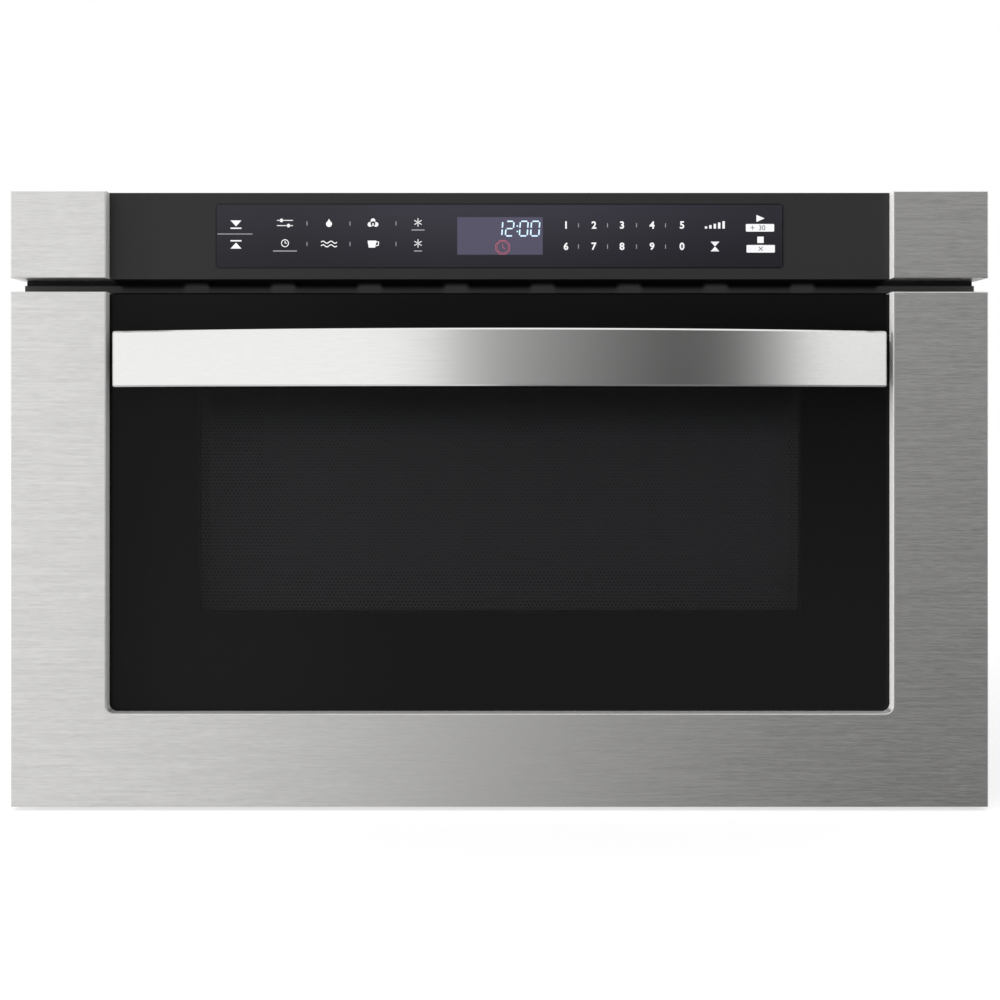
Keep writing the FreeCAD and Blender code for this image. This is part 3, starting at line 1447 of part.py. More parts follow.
def make_magnetron():
    """Finned body under the duct, its antenna up inside the duct, its filter box below."""
    y, top, g = MAGNETRON_Y, DUCT_FLOOR, d.magnetron_gauge
    foot = top - d.magnetron_height
    sides_x, sides_y = about(ZERO, d.magnetron_width), about(y, d.magnetron_depth)
    plate_x, plate_y = about(ZERO, d.magnetron_plate_width), about(y, d.magnetron_plate_depth)
    shell = [
        block("mag_plate", plate_x, plate_y, (top - g, top)),
        block("mag_foot", sides_x, sides_y, (foot, foot + g)),
        block("mag_side", (sides_x[0], sides_x[0] + g), sides_y, (foot, top - g)),
        block("mag_side", (sides_x[1] - g, sides_x[1]), sides_y, (foot, top - g)),
    ]
    room = d.magnetron_height - 2 * g
    core = document.addObject("Part::Prism", "mag_core")
    core.Polygon = 16
    bind(core, Circumradius=d.magnetron_core_radius, Height=room)
    move_to(core, ZERO, y, foot + g)
    fin_x = about(ZERO, d.magnetron_width, -g)
    fin_y = about(y, d.magnetron_depth, -d.magnetron_fin_inset)
    count = int(number_of(d.magnetron_fins))
    lowest = foot + g + (room - (count - 1) * d.magnetron_fin_pitch) / 2
    levels = [lowest + index * d.magnetron_fin_pitch for index in range(count)]
    fins = [block("mag_fin", fin_x, fin_y, about(level, d.magnetron_fin_gauge)) for level in levels]
    box_x, box_y = about(ZERO, d.magnetron_box_width), about(y, d.magnetron_box_depth)
    box = block("mag_filter", box_x, box_y, (foot - d.magnetron_box_height, foot))
    antenna = round_bar("mag_antenna", "Z", d.antenna_radius, (ZERO, y, top), d.antenna_height)
    piece(joined("magnetron_body", *shell, core, *fins, box, antenna), "magnetron")


def make_transformer():
    """Iron core with its coil, on a foot plate on the base."""
    x, floor = d.transformer_x, d.sheet_gauge
    y = REAR_INNER - d.coil_rear_gap - d.coil_depth / 2
    core = block("core", about(x, d.core_width), about(y, d.core_depth), (floor, floor + d.core_height))
    coil_rise = (floor + d.coil_rise, floor + d.coil_rise + d.coil_height)
    coil = block("coil", about(x, d.coil_width), about(y, d.coil_depth), coil_rise)
    foot_top = floor + d.core_foot_gauge
    foot = block("core_foot", about(x, d.core_foot_width), about(y, d.core_foot_depth), (floor, foot_top))
    piece(joined("transformer_body", core, coil, foot), "hv_transformer")


def make_capacitor():
    """Can of oval section lying on the base, with its terminal block on one end."""
    y, middle = REAR_INNER - d.capacitor_rear_gap, d.sheet_gauge + d.capacitor_height / 2
    can = new_body("capacitor_can")
    section = (*about(y, d.capacitor_depth), *about(middle, d.capacitor_height))
    pad(can, "X", d.capacitor_x, d.capacitor_length, rectangle(*section, d.capacitor_corner))
    end = d.capacitor_x + d.capacitor_length
    block_section = (*about(y, d.terminal_width), *about(middle, d.terminal_width))
    pad(can, "X", end, d.terminal_length, rectangle(*block_section))
    piece(can, "hv_capacitor")


def make_line_filter():
    """Small board on four posts of the rear wall, above the mains lead, with its ring coil."""
    x, z = d.cord_x, d.cord_z + d.filter_rise + d.filter_size / 2
    face = REAR_INNER - d.filter_standoff
    across, rise = about(x, d.filter_size), about(z, d.filter_size)
    board = block("filter_board", across, (face - d.filter_gauge, face), rise)
    post = d.filter_post
    posts = [
        block("filter_post", column, (face, REAR_INNER), row)
        for column in ((across[0], across[0] + post), (across[1] - post, across[1]))
        for row in ((rise[0], rise[0] + post), (rise[1] - post, rise[1]))
    ]
    coil_front = face - d.filter_gauge - d.filter_coil_length
    coil = round_bar("filter_coil", "Y", d.filter_coil_radius, (x, coil_front, z), d.filter_coil_length)
    piece(joined("noise_filter_body", board, *posts, coil), "noise_filter")


def make_fan():
    """Axial fan in a square shroud that blows across the magnetron, and its motor."""
    x, y, z = FAN_X, FAN_Y, FAN_Z
    half = FAN_INNER + d.fan_rim
    shroud = new_body("fan_shroud_body")
    square = rectangle(y - half, REAR_INNER, z - half, z + half)
    pad(shroud, "X", x, d.fan_depth, square, circle(y, z, FAN_INNER))
    piece(shroud, "fan_shroud")
    rotor_x = x + d.fan_set_in
    hub_end = rotor_x + d.fan_hub_length
    hub = round_bar("fan_hub", "X", d.fan_hub_radius, (rotor_x, y, z), d.fan_hub_length)
    vanes = plain("fan_vanes", fan_vanes())
    move_to(vanes, rotor_x, y, z)
    shaft = round_bar("fan_shaft", "X", d.fan_shaft_radius, (hub_end, y, z), d.fan_shaft_length)
    piece(joined("fan_rotor", hub, vanes, shaft), "fan_blade")
    motor_x = hub_end + d.fan_motor_gap
    case = round_bar("fan_case", "X", d.fan_motor_radius, (motor_x, y, z), d.fan_motor_length)
    back = x + d.fan_depth
    strut_x = (back, back + d.fan_strut_gauge)
    strut = block("fan_strut", strut_x, (y - half, y + half), about(z, d.fan_strut_height))
    depth = d.fan_shaft_length - d.fan_motor_gap + d.shaft_end_gap
    bore = round_bar("fan_bore", "X", d.fan_shaft_radius + d.shaft_play, (motor_x, y, z), depth)
    piece(cut("fan_motor_body", joined("fan_case_strut", case, strut), bore), "fan_motor")


def fan_vanes():
    """Pitched blades about +X, each a slab turned on its own radius, rooted in the hub."""
    reach, hub_length = number_of(d.fan_radius), number_of(d.fan_hub_length)
    root = number_of(d.fan_hub_radius - d.fan_blade_gauge)
    gauge, chord = number_of(d.fan_blade_gauge), number_of(d.fan_blade_chord)
    count = int(number_of(d.fan_blades))
    vanes = []
    for turn in range(count):
        vane = Part.makeBox(gauge, chord, reach - root)
        vane.translate(Vector(-gauge / 2, -chord / 2, root))
        vane.rotate(Vector(), Vector(0, 0, 1), number_of(d.fan_blade_pitch))
        vane.translate(Vector(hub_length / 2, 0, 0))
        vane.rotate(Vector(), Vector(1, 0, 0), 360 / count * turn)
        vanes.append(vane)
    rotor = vanes[0].fuse(vanes[1:])
    return rotor.common(Part.makeCylinder(reach, hub_length, Vector(), Vector(1, 0, 0)))


def make_lamp():
    """Cavity lamp in a hood on the right wall."""
    wall, z = HALF_CAVITY + d.cavity_gauge, CAVITY_CEILING - d.lamp_drop
    hood_end = wall + d.lamp_reach
    hood = block("hood", (wall, hood_end), about(d.lamp_y, d.lamp_width), about(z, d.lamp_height))
    cap = round_bar("lamp_cap", "X", d.lamp_cap_radius, (hood_end, d.lamp_y, z), d.lamp_cap_length)
    piece(joined("lamp_body", hood, cap), "oven_lamp")


for make in (
    make_drawer_face,
    make_glass,
    make_carrier,
    make_screen,
    make_backplate,
    make_choke,
    make_inner_window,
    make_handle,
    make_end_cap,
    make_housing,
    make_touch_controls,
    make_vent_strip,
    make_front_frame,
    make_base,
    make_side_panel,
    make_top,
    make_rear,
    make_cord_bush,
    make_cavity,
    make_waveguide,
    make_stirrer,
    make_tray,
    make_slides,
    make_carriage,
    make_latch,
    make_rack,
    make_gears,
    make_drive_bracket,
    make_drive_motor,
    make_magnetron,
    make_transformer,
    make_capacitor,
    make_line_filter,
    make_fan,
    make_lamp,
):
    make()
document.recompute()


# ---------------------------------------------------------------- checks and files


def faults():
    """Plain sentences about every object that failed, and every cut that took nothing away."""
    found = []
    for thing in document.Objects:
        if set(thing.State) & {"Invalid", "Error"}:
            found.append(f"{thing.Label}: {thing.State}")
        if thing.TypeId == "PartDesign::Pocket" and thing.isValid():
            before = thing.BaseFeature.Shape.Volume
            if thing.Shape.Volume > before - 1e-3:
                found.append(f"{thing.Label} of {thing.getParent().Label} cuts nothing")
    for thing in pieces:
        if thing.Shape.isNull() or not thing.Shape.isValid() or not thing.Shape.Solids:
            found.append(f"{thing.Label}: no valid solid")
    labels = [thing.Label for thing in pieces]
    found += [f"{label} is used twice" for label in set(labels) if labels.count(label) > 1]
    return found


problems = faults()
if problems:
    raise SystemExit("\n".join(problems))
os.makedirs("parts", exist_ok=True)
for thing in pieces:
    thing.Shape.exportStep(f"parts/{thing.Label}.step")
print(f"{len(pieces)} sub-parts, {sum(len(thing.Shape.Solids) for thing in pieces)} solids")
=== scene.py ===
# %% [markdown]
# # The looks of a microwave drawer
# The CAD gives every piece of this appliance its shape and place. Here the pieces get their finishes, and
# what is too small or too fine for the CAD: printed key symbols, the lit clock, perforations, balls and
# screws. All of it is in metres, with the floor at z = 0 and the front facing -Y.

import math

import bmesh
import bpy
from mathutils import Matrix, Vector


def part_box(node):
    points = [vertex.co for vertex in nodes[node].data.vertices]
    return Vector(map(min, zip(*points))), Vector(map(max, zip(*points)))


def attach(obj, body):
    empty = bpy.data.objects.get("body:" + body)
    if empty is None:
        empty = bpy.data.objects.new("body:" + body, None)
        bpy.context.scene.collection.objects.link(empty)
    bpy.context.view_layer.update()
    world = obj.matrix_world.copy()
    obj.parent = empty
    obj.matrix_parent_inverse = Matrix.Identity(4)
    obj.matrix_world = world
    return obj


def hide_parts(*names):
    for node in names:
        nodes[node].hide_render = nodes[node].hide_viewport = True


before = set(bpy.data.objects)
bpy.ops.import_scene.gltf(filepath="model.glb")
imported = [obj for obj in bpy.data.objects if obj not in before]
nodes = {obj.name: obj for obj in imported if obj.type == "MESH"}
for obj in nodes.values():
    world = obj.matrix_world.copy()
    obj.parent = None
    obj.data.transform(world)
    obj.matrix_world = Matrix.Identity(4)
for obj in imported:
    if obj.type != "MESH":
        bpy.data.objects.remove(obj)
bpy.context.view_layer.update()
MM = 0.001

# %% [markdown]
# ## The camera
# The photograph is taken straight on, at about three quarters of the height of the drawer, from nearly a
# metre away. The bowed handle looks taller in its middle than at its ends by 4 percent, which sets that
# distance. The lens then follows from the width of the view, and a small shift centres the product.

# %% Camera
STEEL_FRONT = -28.7
CAMERA_DISTANCE = 880.0
EYE_HEIGHT = 249.0
MM_PER_PIXEL = 0.6207
IMAGE_WIDTH = 1000
SENSOR = 36.0
SHIFT = (0.0005, -0.09)

camera_data = bpy.data.cameras.new("camera")
camera_data.sensor_width = SENSOR
camera_data.lens = SENSOR * CAMERA_DISTANCE / (IMAGE_WIDTH * MM_PER_PIXEL)
camera_data.shift_x, camera_data.shift_y = SHIFT
camera_data.clip_start = 0.01
camera = bpy.data.objects.new("camera", camera_data)
camera.location = (0, (STEEL_FRONT - CAMERA_DISTANCE) * MM, EYE_HEIGHT * MM)
camera.rotation_euler = (math.radians(90), 0, 0)
bpy.context.scene.collection.objects.link(camera)
bpy.context.scene.camera = camera
bpy.context.scene.view_settings.view_transform = "Standard"
print("lens", round(camera_data.lens, 2), "mm")

# %% [markdown]
# ## Shader maths written as sums
# A finish is a small tree of nodes. Wired by hand, a line such as 1 - mask takes several statements, so one
# class stands for a socket and turns Python's operators into Math nodes. A second class holds a tree and
# has the one method that adds any other node: its kind, its settings, and then what feeds its sockets.


# %% A socket that can be added and multiplied
class Signal:
    """One output of a node. Arithmetic on it adds Math nodes to its tree."""

    def __init__(self, tree, socket):
        self.tree = tree
        self.socket = socket

    def __add__(self, other):
        return self.tree.math("ADD", self, other)

    def __radd__(self, other):
        return self.tree.math("ADD", other, self)

    def __sub__(self, other):
        return self.tree.math("SUBTRACT", self, other)

    def __rsub__(self, other):
        return self.tree.math("SUBTRACT", other, self)

    def __mul__(self, other):
        return self.tree.math("MULTIPLY", self, other)

    def __rmul__(self, other):
        return self.tree.math("MULTIPLY", other, self)

    def __truediv__(self, other):
        return self.tree.math("DIVIDE", self, other)

    def __gt__(self, other):
        return self.tree.math("GREATER_THAN", self, other)

    def __abs__(self):
        return self.tree.math("ABSOLUTE", self)

    def __neg__(self):
        return self.tree.math("MULTIPLY", self, -1)


# %% A tree of nodes
class Tree:
    """A node tree and the few things this script does to one."""

    def __init__(self, tree):
        self.nodes = tree.nodes
        self.links = tree.links

    def feed(self, socket, value):
        if isinstance(value, Signal):
            self.links.new(value.socket, socket)
        else:
            socket.default_value = value

    def node(self, kind, settings=None, sockets=None, output=0):
        made = self.nodes.new(kind)
        for name, value in (settings or {}).items():
            if name == "stops":
                self.set_stops(made.color_ramp, value)
            else:
                setattr(made, name, value)
        for name, value in (sockets or {}).items():
            self.feed(made.inputs[name], value)
        return Signal(self, made.outputs[output])

    def set_stops(self, ramp, stops):
        while len(ramp.elements) < len(stops):
            ramp.elements.new(0.5)
        for element, (place, grey) in zip(ramp.elements, stops):
            element.position = place
            element.color = (grey, grey, grey, 1)

    def math(self, operation, *values):
        return self.node("ShaderNodeMath", {"operation": operation}, dict(enumerate(values)))

    def mix(self, factor, first, second):
        """Between two colours, by a mask from 0 to 1."""
        sockets = {0: factor, 6: first, 7: second}
        return self.node("ShaderNodeMix", {"data_type": "RGBA"}, sockets, output=2)

    def ramp(self, value, low, high):
        """0 below low, 1 above high."""
        sockets = {0: value, 1: low, 2: high, 3: 0.0, 4: 1.0}
        return self.node("ShaderNodeMapRange", {"interpolation_type": "SMOOTHSTEP"}, sockets)


# %% A finish is a tree with a surface shader
class Finish(Tree):
    """A material: the pattern nodes it is made with, and the sockets of its shader."""

    def __init__(self, name, **constants):
        self.material = bpy.data.materials.new(name)
        self.material.use_nodes = True
        super().__init__(self.material.node_tree)
        self.shader = self.nodes["Principled BSDF"]
        place = self.node("ShaderNodeTexCoord", output=3)
        self.place = place
        parts = self.nodes.new("ShaderNodeSeparateXYZ")
        self.links.new(place.socket, parts.inputs[0])
        self.x, self.y, self.z = (Signal(self, out) for out in parts.outputs)
        self.set(**constants)

    def set(self, **sockets):
        for name, value in sockets.items():
            self.feed(self.shader.inputs[name.replace("_", " ")], value)

    def stretched(self, *per_metre):
        """Object coordinates times a number for each axis: small numbers draw the pattern out."""
        sockets = {0: self.place, 1: per_metre}
        return self.node("ShaderNodeVectorMath", {"operation": "MULTIPLY"}, sockets)

    def noise(self, *per_metre, detail=2.0, rough=0.5):
        sockets = {"Vector": self.stretched(*per_metre), "Scale": 1.0, "Detail": detail, "Roughness": rough}
        return self.node("ShaderNodeTexNoise", {}, sockets)

    def bump(self, height, strength, distance=0.0002):
        sockets = {"Height": height, "Strength": strength, "Distance": distance}
        self.set(Normal=self.node("ShaderNodeBump", {}, sockets))

    def shade(self, mask, colour, share):
        """The colour, darkened by up to the share where the mask is 1."""
        dark = tuple(c * (1 - share) for c in colour[:3]) + (1,)
        return self.mix(mask, tuple(colour[:3]) + (1,), dark)


def linear(red, green, blue):
    """A colour seen on a screen, 0 to 255, as the linear one a shader takes."""
    return tuple((c / 255) ** 2.2 for c in (red, green, blue)) + (1,)


finishes = {}
print("helpers ready")

# %% [markdown]
# ## The studio
# Brushed steel and the polished bar have next to no colour of their own: what is seen on them is the room.
# In the picture they are bright on the left and dark just right of the camera, so the world is a white room
# with a soft grey screen there, darker towards its foot. For the camera itself the world is plain white. The
# floor is pale, stays out of the reflections, and keeps the soft shadow under the product.

# %% World
# degrees round from the way to the camera (minus is left) and how bright the room is there
ROOM = (
    (-180, 0.92),
    (-90, 1.00),
    (-40, 1.00),
    (-14, 0.99),
    (-9, 0.89),
    (-4.5, 0.51),
    (0, 0.36),
    (5, 0.27),
    (13, 0.175),
    (22, 0.09),
    (27, 0.09),
    (31, 0.16),
    (36, 0.38),
    (41, 0.84),
    (60, 0.76),
    (78, 0.50),
    (120, 0.48),
    (180, 0.92),
)
# how steeply up the white ceiling starts and is full, the screen's two sides in degrees, and how far up and
# down its tones change
CEILING = (0.35, 0.80)
SCREEN_SIDES = (-8, 6)
LOWEST, HIGHEST = -0.45, 0.15
MIDDLE_TONE, FALL_ON_THE_LEFT, RISE_ON_THE_RIGHT = 1.05, 0.62, 1.5

world = bpy.data.worlds.new("studio")
bpy.context.scene.world = world
world.use_nodes = True
world.cycles.sampling_method = "NONE"
air = Tree(world.node_tree)
direction = air.node("ShaderNodeTexCoord")
turned = air.nodes.new("ShaderNodeSeparateXYZ")
air.links.new(direction.socket, turned.inputs[0])
across, depth, rise = (Signal(air, out) for out in turned.outputs)
azimuth = air.math("ARCTAN2", across, -depth) / (2 * math.pi) + 0.5
room = air.node("ShaderNodeValToRGB", {"stops": [(a / 360 + 0.5, v) for a, v in ROOM]}, {0: azimuth})
ceiling = air.ramp(rise, *CEILING)
low_to_high = air.math("MINIMUM", air.math("MAXIMUM", rise, LOWEST), HIGHEST)
on_the_right = air.ramp(azimuth, *(0.5 + degrees / 360 for degrees in SCREEN_SIDES))
left_fall = abs(low_to_high) * (1 - on_the_right) * FALL_ON_THE_LEFT
shading = MIDDLE_TONE - left_fall + low_to_high * on_the_right * RISE_ON_THE_RIGHT
toned = air.node("ShaderNodeVectorMath", {"operation": "SCALE"}, {0: room, "Scale": shading})
room = air.mix(ceiling, toned, (1, 1, 1, 1))
rays = air.nodes.new("ShaderNodeLightPath")
from_camera = Signal(air, rays.outputs["Is Camera Ray"])
through_glass = Signal(air, rays.outputs["Is Transmission Ray"])
straight = air.math("MAXIMUM", from_camera, through_glass)
background = air.nodes["Background"]
air.feed(background.inputs["Color"], air.mix(straight, room, (1, 1, 1, 1)))
air.feed(background.inputs["Strength"], 1.0)
print("room of", len(ROOM), "tones")

# %% Floor
FLOOR_GLOW = 0.56
HALF_FLOOR = 12.0
floor_finish = Finish("pale_floor", Roughness=0.9)
floor_finish.set(Base_Color=(0.86, 0.86, 0.86, 1))
seen = floor_finish.nodes.new("ShaderNodeLightPath")
grain = floor_finish.noise(40, 40, 40)
paper_tone = floor_finish.shade(grain, (0.52, 0.52, 0.52), 0.03)
paper = floor_finish.node("ShaderNodeBsdfDiffuse", {}, {"Color": paper_tone})
glow = floor_finish.node("ShaderNodeEmission", {}, {"Color": (1, 1, 1, 1), "Strength": FLOOR_GLOW})
lit = floor_finish.node("ShaderNodeAddShader", {}, {0: paper, 1: glow})
plain = Signal(floor_finish, floor_finish.shader.outputs[0])
camera_ray = Signal(floor_finish, seen.outputs["Is Camera Ray"])
both = floor_finish.node("ShaderNodeMixShader", {}, {0: camera_ray, 1: plain, 2: lit})
floor_finish.feed(floor_finish.nodes["Material Output"].inputs["Surface"], both)

floor_mesh = bpy.data.meshes.new("floor")
corners = [(x * HALF_FLOOR, y * HALF_FLOOR, 0) for x, y in ((-1, -1), (1, -1), (1, 1), (-1, 1))]
floor_mesh.from_pydata(corners, [], [(0, 1, 2, 3)])
floor_mesh.materials.append(floor_finish.material)
floor = bpy.data.objects.new("floor", floor_mesh)
bpy.context.scene.collection.objects.link(floor)
floor.visible_glossy = False


# %% Lamps
def area_lamp(name, size, watts, place, aim):
    """A rectangular lamp that shines at a point and is not seen in reflections."""
    data = bpy.data.lights.new(name, "AREA")
    data.shape = "RECTANGLE"
    data.size, data.size_y = size
    data.energy = watts
    made = bpy.data.objects.new(name, data)
    made.location = place
    made.rotation_euler = (Vector(aim) - made.location).to_track_quat("-Z", "Y").to_euler()
    made.visible_glossy = False
    bpy.context.scene.collection.objects.link(made)


area_lamp("softbox", (2.2, 1.6), 15, (-1.4, -1.5, 2.1), (0, 0.2, 0.2))
area_lamp("side_light", (1.0, 1.0), 150, (-4.0, -0.85, 0.45), (0.2, 0, 0.2))
print("studio ready")

# %% [markdown]
# ## Brushed and polished steel
# The face and the end caps are one kind of stainless sheet, brushed from side to side. The belt leaves fine
# scratches many times longer than they are wide, so the noise is drawn out along X, and it changes the tone,
# the roughness and a very low bump. On a fold's side the scratches lie across the light, which spreads it, so
# faces that look sideways or up are rougher, and the cut edges round the glass are the dullest. The handle is
# the same steel, polished further.

# %% Brushed steel
STEEL_COLOUR = (0.865, 0.859, 0.843)
TURNED_AWAY = (0.60, 0.95)
GLASS_SIDE = (0.255, 0.275)
steel = Finish("brushed_steel")
long_scratch = steel.noise(34, 400, 1150, detail=3, rough=0.6)
short_scratch = steel.noise(130, 900, 1700, detail=2)
cloud = steel.noise(7, 7, 11, detail=2)
scratch = steel.ramp(long_scratch * 0.5 + short_scratch * 0.5, 0.26, 0.74)
facing = steel.nodes.new("ShaderNodeSeparateXYZ")
steel.links.new(steel.nodes["Texture Coordinate"].outputs["Normal"], facing.inputs[0])
sideways = steel.ramp(abs(Signal(steel, facing.outputs[0])), *TURNED_AWAY)
upwards = steel.ramp(Signal(steel, facing.outputs[2]), *TURNED_AWAY)
cut_edge = sideways * (1 - steel.ramp(abs(steel.x), *GLASS_SIDE))
steel.set(Base_Color=steel.shade(scratch * 0.85 + cloud * 0.15, STEEL_COLOUR, 0.15))
steel.set(Roughness=0.28 + scratch * 0.16 + (sideways + upwards) * 0.25)
steel.set(Metallic=1 - sideways * 0.10 - cut_edge * 0.55 - upwards * 0.30)
steel.bump(scratch, 0.14, 0.0001)
finishes["brushed_steel"] = steel

# %% Polished steel
bar = Finish("polished_steel", Metallic=1.0)
haze = bar.noise(14, 900, 1300, detail=2)
bar.set(Base_Color=bar.shade(haze, (0.87, 0.868, 0.86), 0.06))
bar.set(Roughness=0.12 + haze * 0.10)
bar.bump(haze, 0.05, 0.00005)
finishes["polished_steel"] = bar

# %% [markdown]
# ## Glass
# The door's pane is tinted glass with a black print on its back. The print leaves a window in front of the
# perforated screen. Round the window's edge the colour is painted lighter, as painted light against the shade
# of the recess the screen sits in, and towards the handle the window gets less clear, so it is darker at the
# top.
# So the pane is opaque and glossy outside the window and partly clear inside it. The black of the print is
# painted lighter low down and on the right and darker at the top, as painted light and shade. The touch panel
# is printed dark violet, with a dark line round its edge, and its display field is paler; its violet is
# painted lighter towards the top and the middle and darker towards the sides, as painted shading.

# %% Door glass
WINDOW = (0.0, 195.7, 189.6, 74.6)


def inside(finish, centre_x, centre_z, half_width, half_height, edge):
    """1 inside a rectangle on the front, in millimetres, and 0 outside, over a soft edge."""
    over = abs(finish.x - centre_x * MM) - half_width * MM
    up = abs(finish.z - centre_z * MM) - half_height * MM
    return 1 - finish.ramp(finish.math("MAXIMUM", over, up), -edge * MM, 0.0)


pane = Finish("door_glass", Specular_IOR_Level=0.07)
# The window is made less clear towards the handle, so it is darker at the top.
clear = inside(pane, *WINDOW, 2.5) * (1 - pane.ramp(pane.z, 0.226, 0.292) * 0.85)
dust = pane.noise(60, 60, 60, detail=2)
# Painted light and shade: the black print is painted lighter low down and on the right, and darker towards the
# top.
painted_shade_upwards = pane.ramp(pane.z, 0.05, 0.32)
along = pane.ramp(pane.x, -0.24, 0.24)
low_black_painted_lighter_right = pane.mix(along, (0.0078, 0.0078, 0.0079, 1), (0.0104, 0.0104, 0.0105, 1))
black = pane.mix(painted_shade_upwards, low_black_painted_lighter_right, (0.0050, 0.0050, 0.0051, 1))
# Painted light: the window's colour is painted lighter in a band 14 mm wide round its edge, against the shade
# of the recess; further in it is darker.
window_tone_with_painted_rim_light = pane.mix(inside(pane, *WINDOW, 14.0), (0.017, 0.017, 0.0175, 1), (0.007, 0.007, 0.008, 1))
pane.set(Base_Color=pane.mix(clear, black, window_tone_with_painted_rim_light))
pane.set(Roughness=0.03 + dust * 0.03)
pane.set(Alpha=1 - clear * 0.56)
finishes["black_glass"] = pane

# %% Touch glass
TOUCH_FIELD = (0.0, 358.0, 177.5, 20.0)
DISPLAY = (0.3, 358.0, 26.9, 11.9)
touch = Finish("touch_glass", Specular_IOR_Level=0.25)
field = inside(touch, *DISPLAY, 0.3)
# Painted shading: the violet is lighter towards the top and the middle of the panel and darker towards its
# sides, most on the left.
low = touch.ramp(touch.z, 0.336, 0.380)
right = touch.ramp(touch.x, 0.02, 0.17)
left = touch.ramp(-touch.x, 0.03, 0.15)
rim = 1 - inside(touch, *TOUCH_FIELD, 0.8)
violet = touch.mix(low, linear(42, 41, 47), linear(57, 56, 64))
violet = touch.mix(right, violet, touch.mix(low, linear(38, 37, 42), linear(48, 47, 54)))
violet = touch.mix(left, violet, touch.mix(low, linear(31, 30, 36), linear(44, 43, 50)))
violet = touch.mix(rim, violet, linear(16, 15, 18))
touch.set(Base_Color=touch.mix(field, violet, linear(84, 81, 99)))
touch.set(Roughness=0.06 + touch.noise(80, 80, 80) * 0.05)
finishes["touch_glass"] = touch

# %% Clear sheet of the inner window
sheet = Finish("clear_sheet", Roughness=0.05, Specular_IOR_Level=0.4)
sheet.set(Base_Color=sheet.shade(sheet.noise(30, 30, 30), (0.70, 0.74, 0.75), 0.1))
sheet.set(Alpha=0.18 + sheet.noise(20, 20, 20) * 0.04)
finishes["clear_sheet"] = sheet

# %% [markdown]
# ## Moulded plastics and rubber
# A moulded part takes its skin from the tool: a fine spark-eroded texture that scatters light. One function
# makes that texture for all of them, with a colour, a gloss and a grain size for each part.


# %% Moulded finishes
def moulded(slot, colour, roughness, per_metre=1500, height=0.25, shade=0.12):
    made = Finish(slot)
    skin = made.noise(per_metre, per_metre, per_metre, detail=2)
    wide = made.noise(18, 18, 18, detail=2)
    made.set(Base_Color=made.shade(wide * 0.6 + skin * 0.4, colour, shade))
    made.set(Roughness=roughness + skin * 0.10)
    made.bump(skin, height, 0.0001)
    finishes[slot] = made
    return made


panel = moulded("black_plastic", (0.0220, 0.0220, 0.0225), 0.46)
panel.set(Specular_IOR_Level=0.28)
moulded("fan_plastic", (0.10, 0.10, 0.105), 0.40)
moulded("tray_plastic", (0.66, 0.66, 0.65), 0.34, 900, 0.12, 0.05)
moulded("gear_plastic", (0.82, 0.80, 0.74), 0.36, 1200, 0.15, 0.06)
moulded("bush_rubber", (0.02, 0.02, 0.02), 0.65, 800, 0.4)
moulded("display_plastic", (0.09, 0.09, 0.14), 0.22, 900, 0.1)

# %% The vent strip lies deep in its gap; its ledge and bumps are painted lighter and the rest painted dark, as painted light and shade
BUMP_PITCH = 54.9 * MM
vent = Finish("vent_plastic", Specular_IOR_Level=0.1)
# Painted shade: faces set back from the strip's front are painted near black, a little lighter behind the end
# caps.
out_front = vent.ramp(-vent.y, 0.0080, 0.0091)
behind_caps = vent.ramp(abs(vent.x), 0.242, 0.246)
from_bump = abs(vent.math("FLOORED_MODULO", vent.x / BUMP_PITCH, 1.0) - 0.5) * BUMP_PITCH
raised = vent.math("MAXIMUM", 1 - vent.ramp(from_bump, 0.0055, 0.0095), behind_caps)
# Painted shadow: the front above a line that rises over each bump and behind the end caps is painted near
# black, as shade under the control housing.
above_ledge = vent.ramp(vent.z - raised * 0.0021, 0.3242, 0.3276)
# Painted light: the ledge's front is painted lighter than black plastic, lighter still on the bumps and behind
# the end caps.
ledge_painted_light = vent.mix(raised, (0.050, 0.050, 0.050, 1), (0.066, 0.066, 0.066, 1))
ledge = vent.mix(above_ledge, ledge_painted_light, (0.0035, 0.0035, 0.0035, 1))
shadowed = vent.mix(behind_caps, (0.0006, 0.0006, 0.0006, 1), (0.013, 0.013, 0.013, 1))
vent.set(Base_Color=vent.mix(out_front, shadowed, ledge))
vent_skin = vent.noise(1500, 1500, 1500)
vent.set(Roughness=0.6 + vent_skin * 0.1)
vent.bump(vent_skin, 0.2, 0.0001)
finishes["vent_plastic"] = vent
print(len(finishes), "finishes so far")

# %% [markdown]
# ## Sheet metal that nobody sees in a kitchen
# The case is galvanised: zinc freezes on the steel in flat crystals, each with its own tone. Voronoi cells
# give that, one random tone for each cell, and a smaller set of cells breaks up their edges. The tones stay
# close together, as they do on new sheet. The other metals are painted, enamelled, plated or bare.


# %% Galvanised steel
zinc = Finish("zinc_steel", Metallic=0.85)


def crystals(per_metre):
    cells = {"Vector": zinc.stretched(per_metre, per_metre, per_metre), "Scale": 1.0}
    cell = zinc.node("ShaderNodeTexVoronoi", {}, cells, output=1)
    return zinc.node("ShaderNodeSeparateColor", {}, {0: cell})


tone = crystals(95) * 0.6 + crystals(230) * 0.4
rolled = zinc.noise(14, 14, 14, detail=3)
zinc.set(Base_Color=zinc.shade(tone * 0.6 + rolled * 0.4, (0.60, 0.615, 0.625), 0.16))
zinc.set(Roughness=0.36 + tone * 0.10)
zinc.bump(tone, 0.05, 0.0001)
finishes["zinc_steel"] = zinc


